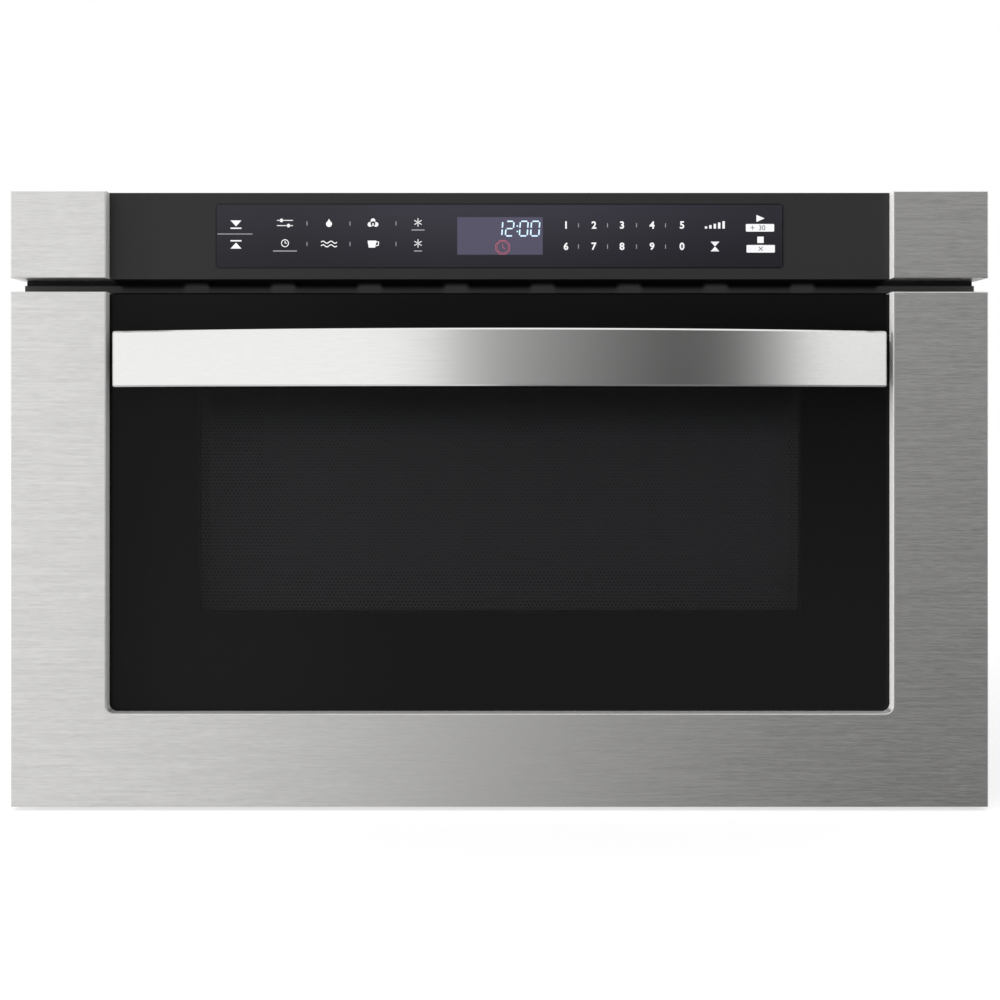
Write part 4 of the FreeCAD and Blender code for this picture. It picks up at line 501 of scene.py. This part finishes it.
# %% Painted, plated and bare metals
def metal(slot, colour, metallic, roughness, per_metre=(120, 120, 120), shade=0.12, height=0.1):
    made = Finish(slot, Metallic=metallic)
    spread = made.noise(*per_metre, detail=3)
    fine = made.noise(1400, 1400, 1400, detail=1)
    made.set(Base_Color=made.shade(spread, colour, shade))
    made.set(Roughness=roughness + fine * 0.10)
    made.bump(fine * 0.5 + spread * 0.5, height, 0.0001)
    finishes[slot] = made
    return made


metal("black_steel", (0.032, 0.032, 0.034), 0.0, 0.42, height=0.3)
metal("screen_steel", (0.184, 0.184, 0.191), 0.1, 0.34)
metal("cavity_enamel", (0.62, 0.63, 0.63), 0.0, 0.24, (300, 300, 300), 0.10)
metal("slide_steel", (0.72, 0.72, 0.71), 1.0, 0.22, (400, 12, 400), 0.16)
metal("magnetron_metal", (0.72, 0.73, 0.74), 1.0, 0.30)
metal("motor_steel", (0.40, 0.40, 0.41), 0.9, 0.34)
metal("aluminium_can", (0.74, 0.75, 0.76), 1.0, 0.26, (900, 900, 14))
metal("mica", (0.60, 0.56, 0.47), 0.0, 0.50, (60, 60, 60), 0.25)

# %% Transformer core and circuit boards
core = Finish("core_iron", Metallic=0.5, Roughness=0.42)
lamination = core.math("SINE", core.x * (2 * math.pi / (0.7 * MM))) * 0.5 + 0.5
core.set(Base_Color=core.shade(lamination * 0.7 + core.noise(60, 60, 60) * 0.3, (0.20, 0.18, 0.15), 0.5))
core.bump(lamination, 0.4, 0.0002)
finishes["core_iron"] = core

board = Finish("circuit_board", Roughness=0.32)
tracks = {"Vector": board.stretched(260, 260, 260), "Scale": 1.0}
track = board.node("ShaderNodeTexVoronoi", {"distance": "MANHATTAN", "feature": "F1"}, tracks, output=1)
copper = board.node("ShaderNodeSeparateColor", {}, {0: track}) > 0.55
board.set(Base_Color=board.mix(copper, (0.020, 0.13, 0.065, 1), (0.045, 0.22, 0.11, 1)))
board.bump(copper, 0.3, 0.0001)
finishes["circuit_board"] = board
print(len(finishes), "finishes")

# %% [markdown]
# ## Every CAD piece gets its finish
# The table says which pieces of the product share a finish. It is checked against the CAD, so that no piece
# is left with the flat colour it came with.

# %% Finishes on the CAD pieces
WEARS = {
    "brushed_steel": "drawer_face end_cap_left end_cap_right",
    "polished_steel": "handle_bar",
    "black_glass": "door_glass",
    "touch_glass": "touch_glass",
    "clear_sheet": "inner_window",
    "black_plastic": "glass_carrier control_housing choke_cover handle_posts latch_hooks interlock_switches",
    "vent_plastic": "vent_strip",
    "display_plastic": "display_module",
    "circuit_board": "control_board noise_filter",
    "black_steel": "front_frame door_backplate choke_frame",
    "screen_steel": "window_screen",
    "zinc_steel": "base_plate side_panel_left side_panel_right top_cover rear_panel waveguide drive_bracket "
    "carriage_arm_left carriage_arm_right rear_crossbar oven_lamp",
    "cavity_enamel": "cavity_wrap cavity_floor cavity_back",
    "slide_steel": "slide_inner_left slide_inner_right slide_middle_left slide_middle_right slide_outer_left "
    "slide_outer_right ball_cages_inner ball_cages_outer",
    "tray_plastic": "food_tray",
    "gear_plastic": "tray_glides drive_gear motor_pinion drive_rack",
    "mica": "stirrer_cover",
    "magnetron_metal": "magnetron stirrer_blade",
    "motor_steel": "drive_motor fan_motor stirrer_motor",
    "core_iron": "hv_transformer",
    "aluminium_can": "hv_capacitor",
    "bush_rubber": "cord_bush",
    "fan_plastic": "fan_blade fan_shroud",
}
dressed = set()
for slot, names in WEARS.items():
    for name in names.split():
        nodes[name].data.materials.clear()
        nodes[name].data.materials.append(finishes[slot].material)
        dressed.add(name)
assert dressed == set(nodes), set(nodes) ^ dressed
print(len(dressed), "CAD pieces dressed")


# %% [markdown]
# ## Flat prints
# Key symbols and display segments are ink or light: shapes with no thickness to speak of. They are drawn as
# flat faces a few hundredths of a millimetre in front of the glass. One class collects the faces of a print,
# so that each colour is one mesh. Places are read off the picture in pixels, which at the glass are 0.626 mm.


# %% A print made of flat faces
class Print:
    """Flat faces on an upright plane that faces the camera, in millimetres."""

    def __init__(self, name, plane_y):
        self.name = name
        self.plane_y = plane_y
        self.mesh = bmesh.new()

    def face(self, points):
        """One face; its corners go anticlockwise as seen from the front."""
        corners = [self.mesh.verts.new((x * MM, self.plane_y * MM, z * MM)) for x, z in points]
        self.mesh.faces.new(corners)

    def bar(self, x, z, width, height):
        right, top = x + width / 2, z + height / 2
        left, foot = x - width / 2, z - height / 2
        self.face([(left, foot), (right, foot), (right, top), (left, top)])

    def rounded(self, x, z, width, height, radius, steps=4):
        points = []
        for turn, (side, level) in enumerate(((1, 1), (-1, 1), (-1, -1), (1, -1))):
            centre_x = x + side * (width / 2 - radius)
            centre_z = z + level * (height / 2 - radius)
            for step in range(steps + 1):
                angle = math.pi / 2 * (turn + step / steps)
                points.append((centre_x + radius * math.cos(angle), centre_z + radius * math.sin(angle)))
        self.face(points)

    def disc(self, x, z, radius, sides=20):
        turns = (2 * math.pi * k / sides for k in range(sides))
        self.face([(x + radius * math.cos(a), z + radius * math.sin(a)) for a in turns])

    def stroke(self, points, width):
        """A line with mitred corners; a line that ends where it starts is closed."""
        closed = points[0] == points[-1]
        path = points[:-1] if closed else points
        count = len(path)
        left, right = [], []
        for k, (x, z) in enumerate(path):
            before = path[k - 1] if closed or k else None
            after = path[(k + 1) % count] if closed or k < count - 1 else None
            runs = []
            for start, end in ((before, (x, z)), ((x, z), after)):
                if start is not None and end is not None:
                    runs.append((Vector(end) - Vector(start)).normalized())
            along = sum(runs, Vector((0, 0))).normalized()
            across = Vector((-along.y, along.x))
            reach = width / 2 / max(0.5, abs(across.dot(Vector((-runs[0].y, runs[0].x)))))
            left.append((x + across.x * reach, z + across.y * reach))
            right.append((x - across.x * reach, z - across.y * reach))
        for k in range(count if closed else count - 1):
            after = (k + 1) % count
            self.face([right[k], right[after], left[after], left[k]])

    def ring(self, x, z, radius, width, sides=28, phase=0.0):
        turns = [2 * math.pi * (k % sides + phase) / sides for k in range(sides + 1)]
        self.stroke([(x + radius * math.cos(a), z + radius * math.sin(a)) for a in turns], width)

    def number(self, text, x, z, height, weight=0.0):
        """A plain numeral from Blender's own font, centred at x, z."""
        font = bpy.data.curves.new("numeral", "FONT")
        font.body = text
        font.align_x = "CENTER"
        font.resolution_u = 4
        font.offset = weight
        holder = bpy.data.objects.new("numeral", font)
        bpy.context.scene.collection.objects.link(holder)
        bpy.context.view_layer.update()
        flat = bpy.data.meshes.new_from_object(holder.evaluated_get(bpy.context.evaluated_depsgraph_get()))
        across = [v.co.x for v in flat.vertices]
        levels = [v.co.y for v in flat.vertices]
        foot, tall = min(levels), max(levels) - min(levels)
        middle = (max(across) + min(across)) / 2
        scale = height / tall
        made = []
        for v in flat.vertices:
            place = (x + (v.co.x - middle) * scale, z + (v.co.y - foot) * scale - height / 2)
            made.append(self.mesh.verts.new((place[0] * MM, self.plane_y * MM, place[1] * MM)))
        for polygon in flat.polygons:
            self.mesh.faces.new([made[k] for k in polygon.vertices])
        bpy.data.objects.remove(holder)
        bpy.data.meshes.remove(flat)

    def finish(self, material, body, slot):
        """The print as one piece of the product."""
        for face in self.mesh.faces:
            face.normal_update()
            if face.normal.y > 0:
                face.normal_flip()
        data = bpy.data.meshes.new(self.name)
        self.mesh.to_mesh(data)
        self.mesh.free()
        data.materials.append(material)
        made = bpy.data.objects.new(self.name, data)
        bpy.context.scene.collection.objects.link(made)
        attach(made, body)
        print(self.name, len(data.polygons), "faces")


# %% Where a pixel of the touch glass is
GLASS_FRONT = -21.0
MIDDLE_PIXEL, EYE_PIXEL = 499.5, 410
GLASS_SCALE = MM_PER_PIXEL * (CAMERA_DISTANCE + GLASS_FRONT - STEEL_FRONT) / CAMERA_DISTANCE


def at(pixel_x, pixel_y):
    return (pixel_x - MIDDLE_PIXEL) * GLASS_SCALE, EYE_HEIGHT + (EYE_PIXEL - pixel_y) * GLASS_SCALE


def shape(points, pixel_x, pixel_y):
    """Points in pixels round a centre, up positive, as places on the glass."""
    x, z = at(pixel_x, pixel_y)
    return [(x + a * GLASS_SCALE, z + b * GLASS_SCALE) for a, b in points]


def pixel_bar(target, pixel_x, pixel_y, width, height):
    """A bar in a print, its place and its size in pixels."""
    target.bar(*at(pixel_x, pixel_y), width * GLASS_SCALE, height * GLASS_SCALE)


# %% [markdown]
# ## Key symbols
# A key shows what it does. Each has a plain symbol, drawn in strokes and filled shapes: arrows for out and
# in, a drop, a flake, a cup. The number keys have numerals in Blender's own font.

# %% Ink
ink = Finish("white_ink", Roughness=0.5)
ink.set(Base_Color=ink.shade(ink.noise(2500, 2500, 2500), (0.95, 0.95, 0.97), 0.08))
thin_ink = Finish("thin_ink", Roughness=0.5)
thin_ink.set(Base_Color=thin_ink.shade(thin_ink.noise(2500, 2500, 2500), (0.34, 0.34, 0.36), 0.08))
PRINT_LIFT = 0.03
keys = Print("key_symbols", GLASS_FRONT - PRINT_LIFT)
rules = Print("key_rules", GLASS_FRONT - PRINT_LIFT)

# %% Out and in
for level, turn in ((223.0, -1), (246.0, 1)):
    tip = [(-5.5, -2.6 * turn), (5.5, -2.6 * turn), (0.0, 3.4 * turn)]
    keys.face(shape(tip if turn > 0 else tip[::-1], 236, level))
    pixel_bar(keys, 236, level - 5.2 * turn, 11, 1.3)
pixel_bar(rules, 235, 234.0, 35, 0.9)

# %% Settings: two sliders
for row, knob in ((2.6, -3.5), (-2.6, 3.5)):
    keys.stroke(shape([(-8, row), (knob - 1, row)], 285, 223), 0.5)
    keys.stroke(shape([(knob + 1, row), (8, row)], 285, 223), 0.5)
    keys.disc(*shape([(knob, row)], 285, 223)[0], 1.15, 14)

# %% Clock
x, z = at(285, 243.2)
keys.ring(x, z, 2.2, 0.5)
keys.stroke(shape([(0, 2.4), (0, 0), (2.0, 0)], 285, 243.2), 0.45)
pixel_bar(rules, 285, 251.0, 24, 1.1)

# %% Drop, and two waves
drop = [(0.0, 4.2)]
for step in range(13):
    angle = math.radians(150 - 25 * step)
    drop.append((3.0 * math.sin(-angle), -1.0 - 3.0 * math.cos(angle)))
keys.face(shape(drop[::-1], 329, 223))
for row in (1.8, -1.8):
    wave = [(-8 + k, row + 1.1 * math.sin(k * math.pi / 4)) for k in range(17)]
    keys.stroke(shape(wave, 329, 244), 0.6)

# %% Popped corn, and a cup
x, z = at(373, 223)
for aside, above in ((-3.0, -1.4), (3.0, -1.4), (0.0, 2.2), (0.0, -0.6)):
    keys.disc(x + aside * GLASS_SCALE, z + above * GLASS_SCALE, 1.5)
keys.face(shape([(-4.5, 3.4), (-3.3, -3.6), (3.3, -3.6), (4.5, 3.4)], 372, 244))
keys.stroke(shape([(4.2, 2.2), (6.6, 2.0), (6.4, -1.2), (3.8, -1.8)], 372, 244), 0.55)

# %% Two flakes, for the two ways of thawing
for level, foot, width in ((222.4, 230.0, 13), (243.4, 251.0, 8)):
    for turn in range(3):
        angle = math.radians(90 + 60 * turn)
        arm = (4.2 * math.cos(angle), 4.2 * math.sin(angle))
        keys.stroke(shape([(-arm[0], -arm[1]), arm], 418, level), 0.5)
    pixel_bar(rules, 418, foot, width, 1.1)

# %% Numerals and the ticks between keys
for column, centre in enumerate((566, 594, 622, 652, 682)):
    for row, level in enumerate((225.0, 246.3)):
        numeral = str((column + 1 + 5 * row) % 10)
        keys.number(numeral, *at(centre, level), 7.5 * GLASS_SCALE, 0.03)
TICKS = (((307, 350, 396), (223.5, 244.0)), ((578.5, 607.5, 636.5, 665.5), (225.3, 246.6)))
for centres, levels in TICKS:
    for centre in centres:
        for level in levels:
            pixel_bar(rules, centre, level, 0.8, 4.2)

# %% Power bars, hourglass, start and stop
for step in range(5):
    rises = 2.2 + 1.3 * step
    x, z = at(706 + 4.4 * step, 228.6)
    keys.bar(x, z + rises * GLASS_SCALE / 2, 2.4 * GLASS_SCALE, rises * GLASS_SCALE)
keys.stroke(shape([(-4, 4.4), (4, 4.4)], 715, 246.5), 0.6)
keys.stroke(shape([(-4, -4.4), (4, -4.4)], 715, 246.5), 0.6)
keys.face(shape([(-3.4, 3.8), (0, 0), (3.4, 3.8)], 715, 246.5))
keys.face(shape([(-3.4, -3.8), (3.4, -3.8), (0, 0)], 715, 246.5))
keys.face(shape([(-3.6, 3.6), (-3.6, -3.6), (4.6, 0.0)], 760, 218.4))
keys.face(shape([(-3.2, 3.2), (-3.2, -3.2), (3.2, -3.2), (3.2, 3.2)], 760.5, 239.8))
for centre, level in ((760.0, 227.8), (760.7, 248.8)):
    keys.rounded(*at(centre, level), 28.3 * GLASS_SCALE, 7.6 * GLASS_SCALE, 0.5)
keys.finish(ink.material, "root", "touch_glass")
rules.finish(thin_ink.material, "root", "touch_glass")

# %% Dark marks on the two white fields
dark_ink = Finish("dark_ink", Roughness=0.5)
dark_ink.set(Base_Color=dark_ink.shade(dark_ink.noise(2500, 2500, 2500), (0.10, 0.10, 0.12), 0.3))
marks = Print("field_marks", GLASS_FRONT - 2 * PRINT_LIFT)
marks.number("30", *at(762, 227.8), 5.0 * GLASS_SCALE)
marks.stroke(shape([(-2, 0), (2, 0)], 752.5, 227.8), 0.35)
marks.stroke(shape([(0, -2), (0, 2)], 752.5, 227.8), 0.35)
marks.stroke(shape([(-2, -2), (2, 2)], 760.7, 248.8), 0.4)
marks.stroke(shape([(-2, 2), (2, -2)], 760.7, 248.8), 0.4)
marks.finish(dark_ink.material, "root", "touch_glass")

# %% [markdown]
# ## The lit clock
# The display shows twelve o'clock in seven segments, pale blue, and a small red ring with hands below it.
# Both are light, so their finish is mostly emission, and the segments lean a little as real ones do.


# %% Light
def light(name, colour, strength):
    made = Finish(name, Roughness=0.4)
    made.set(Base_Color=made.shade(made.noise(900, 900, 900), colour, 0.1))
    made.set(Emission_Color=colour, Emission_Strength=strength)
    return made.material


SEGMENTS = {"1": "bc", "2": "abged", "0": "abcdef"}
ENDS = {
    "a": ((0, 2), (1, 2)),
    "b": ((1, 2), (1, 1)),
    "c": ((1, 1), (1, 0)),
    "d": ((0, 0), (1, 0)),
    "e": ((0, 1), (0, 0)),
    "f": ((0, 2), (0, 1)),
    "g": ((0, 1), (1, 1)),
}


def lit_digit(target, digit, left, width, foot=235.9, height=14.6):
    for segment in SEGMENTS[digit]:
        (x0, z0), (x1, z1) = ENDS[segment]
        start = Vector((left + x0 * width + 0.5 * z0, -foot + z0 * height / 2))
        end = Vector((left + x1 * width + 0.5 * z1, -foot + z1 * height / 2))
        run = (end - start).normalized() * 0.9
        ends = [start + run, end - run]
        target.stroke([at(p.x, -p.y) for p in ends], 0.85)


clock = Print("clock_segments", GLASS_FRONT - PRINT_LIFT)
for digit, left_end, width in (("1", 492.8, 9.0), ("2", 505.4, 7.6), ("0", 519.4, 7.8), ("0", 530.6, 8.2)):
    lit_digit(clock, digit, left_end, width)
for level in (226.0, 231.5):
    clock.disc(*at(517.3, level), 0.5, 10)
clock.finish(light("pale_blue_light", (0.55, 0.74, 0.90, 1), 0.45), "root", "display_plastic")

# %% Red ring with hands
ring = Print("timer_light", GLASS_FRONT - PRINT_LIFT)
x, z = at(502.7, 247.3)
ring.ring(x, z, 4.7, 0.3, 8, 0.5)
ring.ring(x, z, 3.6, 0.22, 16)
ring.stroke(shape([(0.0, 3.6), (0.0, 0.0), (2.4, -1.6)], 502.7, 247.3), 0.3)
ring.finish(light("red_light", (0.52, 0.11, 0.17, 1), 0.3), "root", "display_plastic")

# %% [markdown]
# ## Things that repeat
# Perforations, balls and screws are one shape many times over, which is what Geometry Nodes are for. Each
# tree is built here with named inputs, run once, and its result kept as a plain mesh. A helper holds the
# tree, sets the inputs by their identifiers, and takes the modifier off again.


# %% A tree that grows a mesh
class Grower(Tree):
    """A geometry tree with named inputs."""

    def __init__(self, name, **inputs):
        self.group = bpy.data.node_groups.new(name, "GeometryNodeTree")
        super().__init__(self.group)
        self.values = inputs
        self.sizes = {}
        self.group.interface.new_socket("Geometry", in_out="INPUT", socket_type="NodeSocketGeometry")
        for label, value in inputs.items():
            kind = "NodeSocketInt" if isinstance(value, int) else "NodeSocketFloat"
            self.group.interface.new_socket(label, in_out="INPUT", socket_type=kind)
        self.group.interface.new_socket("Geometry", in_out="OUTPUT", socket_type="NodeSocketGeometry")
        entry = self.nodes.new("NodeGroupInput")
        self.places = Signal(self, entry.outputs["Geometry"])
        for label in inputs:
            self.sizes[label] = Signal(self, entry.outputs[label])

    def vector(self, x=0.0, y=0.0, z=0.0):
        return self.node("ShaderNodeCombineXYZ", {}, {0: x, 1: y, 2: z})

    def painted(self, geometry, material):
        made = self.nodes.new("GeometryNodeSetMaterial")
        self.feed(made.inputs["Geometry"], geometry)
        made.inputs["Material"].default_value = material
        return Signal(self, made.outputs[0])

    def moved(self, geometry, **sockets):
        return self.node("GeometryNodeTransform", {}, {"Geometry": geometry, **sockets})

    def joined(self, *shapes):
        made = self.nodes.new("GeometryNodeJoinGeometry")
        for one in reversed(shapes):
            self.links.new(one.socket, made.inputs[0])
        return Signal(self, made.outputs[0])

    def grow(self, name, result, carrier, body, slot, smooth=False):
        """Runs the tree on the carrier's points and keeps what it makes as a piece on a body."""
        leave = self.nodes.new("NodeGroupOutput")
        real = self.node("GeometryNodeRealizeInstances", {}, {0: result})
        self.feed(leave.inputs[0], real)
        start = bpy.data.meshes.new(name)
        start.from_pydata([place for place, _ in carrier], [], [])
        facing_of = start.attributes.new("facing", "FLOAT_VECTOR", "POINT")
        facing_of.data.foreach_set("vector", [c for _, way in carrier for c in way])
        made = bpy.data.objects.new(name, start)
        bpy.context.scene.collection.objects.link(made)
        modifier = made.modifiers.new(name, "NODES")
        modifier.node_group = self.group
        for item in self.group.interface.items_tree:
            if item.in_out == "INPUT" and item.name in self.values:
                modifier[item.identifier] = self.values[item.name]
        bpy.context.view_layer.update()
        seen_now = made.evaluated_get(bpy.context.evaluated_depsgraph_get())
        mesh = bpy.data.meshes.new_from_object(seen_now)
        made.modifiers.clear()
        made.data = mesh
        for polygon in mesh.polygons:
            polygon.use_smooth = smooth
        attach(made, body)
        print(name, len(mesh.polygons), "faces")
        return made


# %% [markdown]
# ## The perforated screen
# A sheet of steel with thousands of small holes lets the eye see in and keeps the microwaves in, because the
# holes are far smaller than the wave. One hexagonal tile with a six-sided hole in it is repeated on a
# staggered grid. At this size the eye takes the holes for round. It stands for the plain sheet of the CAD.

# %% Perforated screen
low_corner, high_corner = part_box("window_screen")
SCREEN_PITCH = 2.4 * MM
SCREEN_ROW = SCREEN_PITCH * math.sqrt(3) / 2
MARGIN = 0.9 * MM
HOLE_RADIUS = 0.78 * MM
SET_BACK = 0.2 * MM
screen_width = high_corner.x - low_corner.x
screen_height = high_corner.z - low_corner.z
columns = int((screen_width - 2 * MARGIN) / SCREEN_PITCH)
rows = int((screen_height - 2 * MARGIN) / SCREEN_ROW)
screen_tree = Grower("perforated_sheet", Pitch=SCREEN_PITCH, Hole=HOLE_RADIUS, Columns=columns, Rows=rows)
pitch, hole = screen_tree.sizes["Pitch"], screen_tree.sizes["Hole"]
grid = screen_tree.node(
    "GeometryNodeMeshGrid",
    {},
    {
        "Size X": pitch * (screen_tree.sizes["Columns"] - 1),
        "Size Y": pitch * (screen_tree.sizes["Rows"] - 1) * (math.sqrt(3) / 2),
        "Vertices X": screen_tree.sizes["Columns"],
        "Vertices Y": screen_tree.sizes["Rows"],
    },
)
index = screen_tree.node("GeometryNodeInputIndex")
row_number = screen_tree.math("MODULO", index, screen_tree.sizes["Rows"])
odd = screen_tree.math("MODULO", row_number, 2.0)
offset = screen_tree.vector((odd - 0.5) * pitch * 0.5)
staggered = screen_tree.node("GeometryNodeSetPosition", {}, {"Geometry": grid, "Offset": offset})
six_sides = {"Resolution": 6, "Radius": pitch / math.sqrt(3)}
tile_edge = screen_tree.node("GeometryNodeCurvePrimitiveCircle", {}, six_sides)
hole_edge = screen_tree.node("GeometryNodeCurvePrimitiveCircle", {}, {"Resolution": 6, "Radius": hole})
turned_edge = screen_tree.moved(tile_edge, Rotation=(0, 0, math.pi / 6))
turned_hole = screen_tree.moved(hole_edge, Rotation=(0, 0, math.pi / 6))
outline_pair = screen_tree.joined(turned_edge, turned_hole)
tile = screen_tree.node("GeometryNodeFillCurve", {}, {0: outline_pair})
tiles = screen_tree.node("GeometryNodeInstanceOnPoints", {}, {"Points": staggered, "Instance": tile})
upright = screen_tree.moved(
    tiles,
    Rotation=(math.pi / 2, 0, 0),
    Translation=(0, low_corner.y + SET_BACK, (low_corner.z + high_corner.z) / 2),
)
screen = screen_tree.grow(
    "perforated_screen",
    screen_tree.painted(upright, finishes["screen_steel"].material),
    [((0, 0, 0), (0, 0, 1))],
    "drawer",
    "screen_steel",
)
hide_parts("window_screen")

# %% [markdown]
# ## Balls of the slides
# Each slide runs on two rows of steel balls above and two below, held apart by a cage. The balls are placed
# where the CAD's races have their centres, and each cage's balls ride with that cage.

# %% Balls
BALL_RADIUS = 2.0 * MM
SLIDE_MIDDLE = 104.0
FIRST_BALL, BALL_STEP, BALLS_IN_ROW = 120, 12, 16
RACES = {"ball_cages_outer": (270.6, 19.35), "ball_cages_inner": (269.3, 13.95)}
steel_ball = metal("ball_steel", (0.80, 0.80, 0.80), 1.0, 0.08, shade=0.05)
for cage, (reach, rise_of_row) in RACES.items():
    ball_tree = Grower("balls_of_" + cage, Radius=BALL_RADIUS)
    ball_sizes = {"Radius": ball_tree.sizes["Radius"], "Subdivisions": 3}
    ball = ball_tree.node("GeometryNodeMeshIcoSphere", {}, ball_sizes)
    balls = ball_tree.node("GeometryNodeInstanceOnPoints", {}, {"Points": ball_tree.places, "Instance": ball})
    spots = []
    for side in (-1, 1):
        for level in (-1, 1):
            for step in range(BALLS_IN_ROW):
                back = FIRST_BALL + BALL_STEP * step
                spot = (side * reach * MM, back * MM, (SLIDE_MIDDLE + level * rise_of_row) * MM)
                spots.append((spot, (0, 0, 1)))
    painted = ball_tree.painted(balls, steel_ball.material)
    ball_tree.grow("balls_" + cage.split("_")[-1], painted, spots, cage, "slide_steel", smooth=True)

# %% [markdown]
# ## Screws
# The case is held together by self-tapping screws with hexagonal washer heads, round the rear wall and along
# the upper edge of each side, where the flange of the top goes behind it. One head is made of a washer, a
# hexagon and its recess, and set on each place, turned to face the way the wall does.

# %% Screws
screw_steel = metal("screw_steel", (0.62, 0.62, 0.60), 1.0, 0.25, shade=0.1)
screw_tree = Grower("hex_screws", Radius=2.9 * MM, Height=1.6 * MM)
radius, height = screw_tree.sizes["Radius"], screw_tree.sizes["Height"]


def cone(sides, top, foot, depth):
    sockets = {"Vertices": sides, "Radius Top": top, "Radius Bottom": foot, "Depth": depth}
    return screw_tree.node("GeometryNodeMeshCone", {}, sockets)


washer = cone(20, radius * 1.25, radius * 1.4, height * 0.35)
hexagon = cone(6, radius * 0.94, radius, height)
dent = cone(12, radius * 0.35, radius * 0.5, height * 0.2)
recess = screw_tree.moved(dent, Translation=screw_tree.vector(z=height * 0.85))
head = screw_tree.joined(
    screw_tree.painted(washer, screw_steel.material),
    screw_tree.painted(hexagon, screw_steel.material),
    screw_tree.painted(recess, finishes["core_iron"].material),
)
vectors = {"data_type": "FLOAT_VECTOR"}
facing_way = screw_tree.node("GeometryNodeInputNamedAttribute", vectors, {"Name": "facing"})
turning = screw_tree.node("FunctionNodeAlignEulerToVector", {"axis": "Z"}, {"Vector": facing_way})
screws = screw_tree.node(
    "GeometryNodeInstanceOnPoints", {}, {"Points": screw_tree.places, "Instance": head, "Rotation": turning}
)

# %% Where the screws are
# A side panel's box reaches out to the hem along its front edge, 8 mm past its wall. So the screws set at SIDE
# stand 8 mm off the wall, which is at 278 mm. That is a known fault of this part.
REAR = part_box("rear_panel")[1].y
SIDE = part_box("side_panel_right")[1].x
REAR_SCREWS = ((266, (16, 130, 245, 352)), (90, (16, 352)))
SIDE_SCREW_DEPTHS, SIDE_SCREW_LEVEL = (24, 190, 356, 522), 364.5
places = []
for side in (-1, 1):
    for aside, levels in REAR_SCREWS:
        for level in levels:
            places.append(((side * aside * MM, REAR, level * MM), (0, 1, 0)))
for side in (-1, 1):
    for back in SIDE_SCREW_DEPTHS:
        places.append(((side * SIDE, back * MM, SIDE_SCREW_LEVEL * MM), (side, 0, 0)))
screw_tree.grow("case_screws", screws, places, "root", "zinc_steel")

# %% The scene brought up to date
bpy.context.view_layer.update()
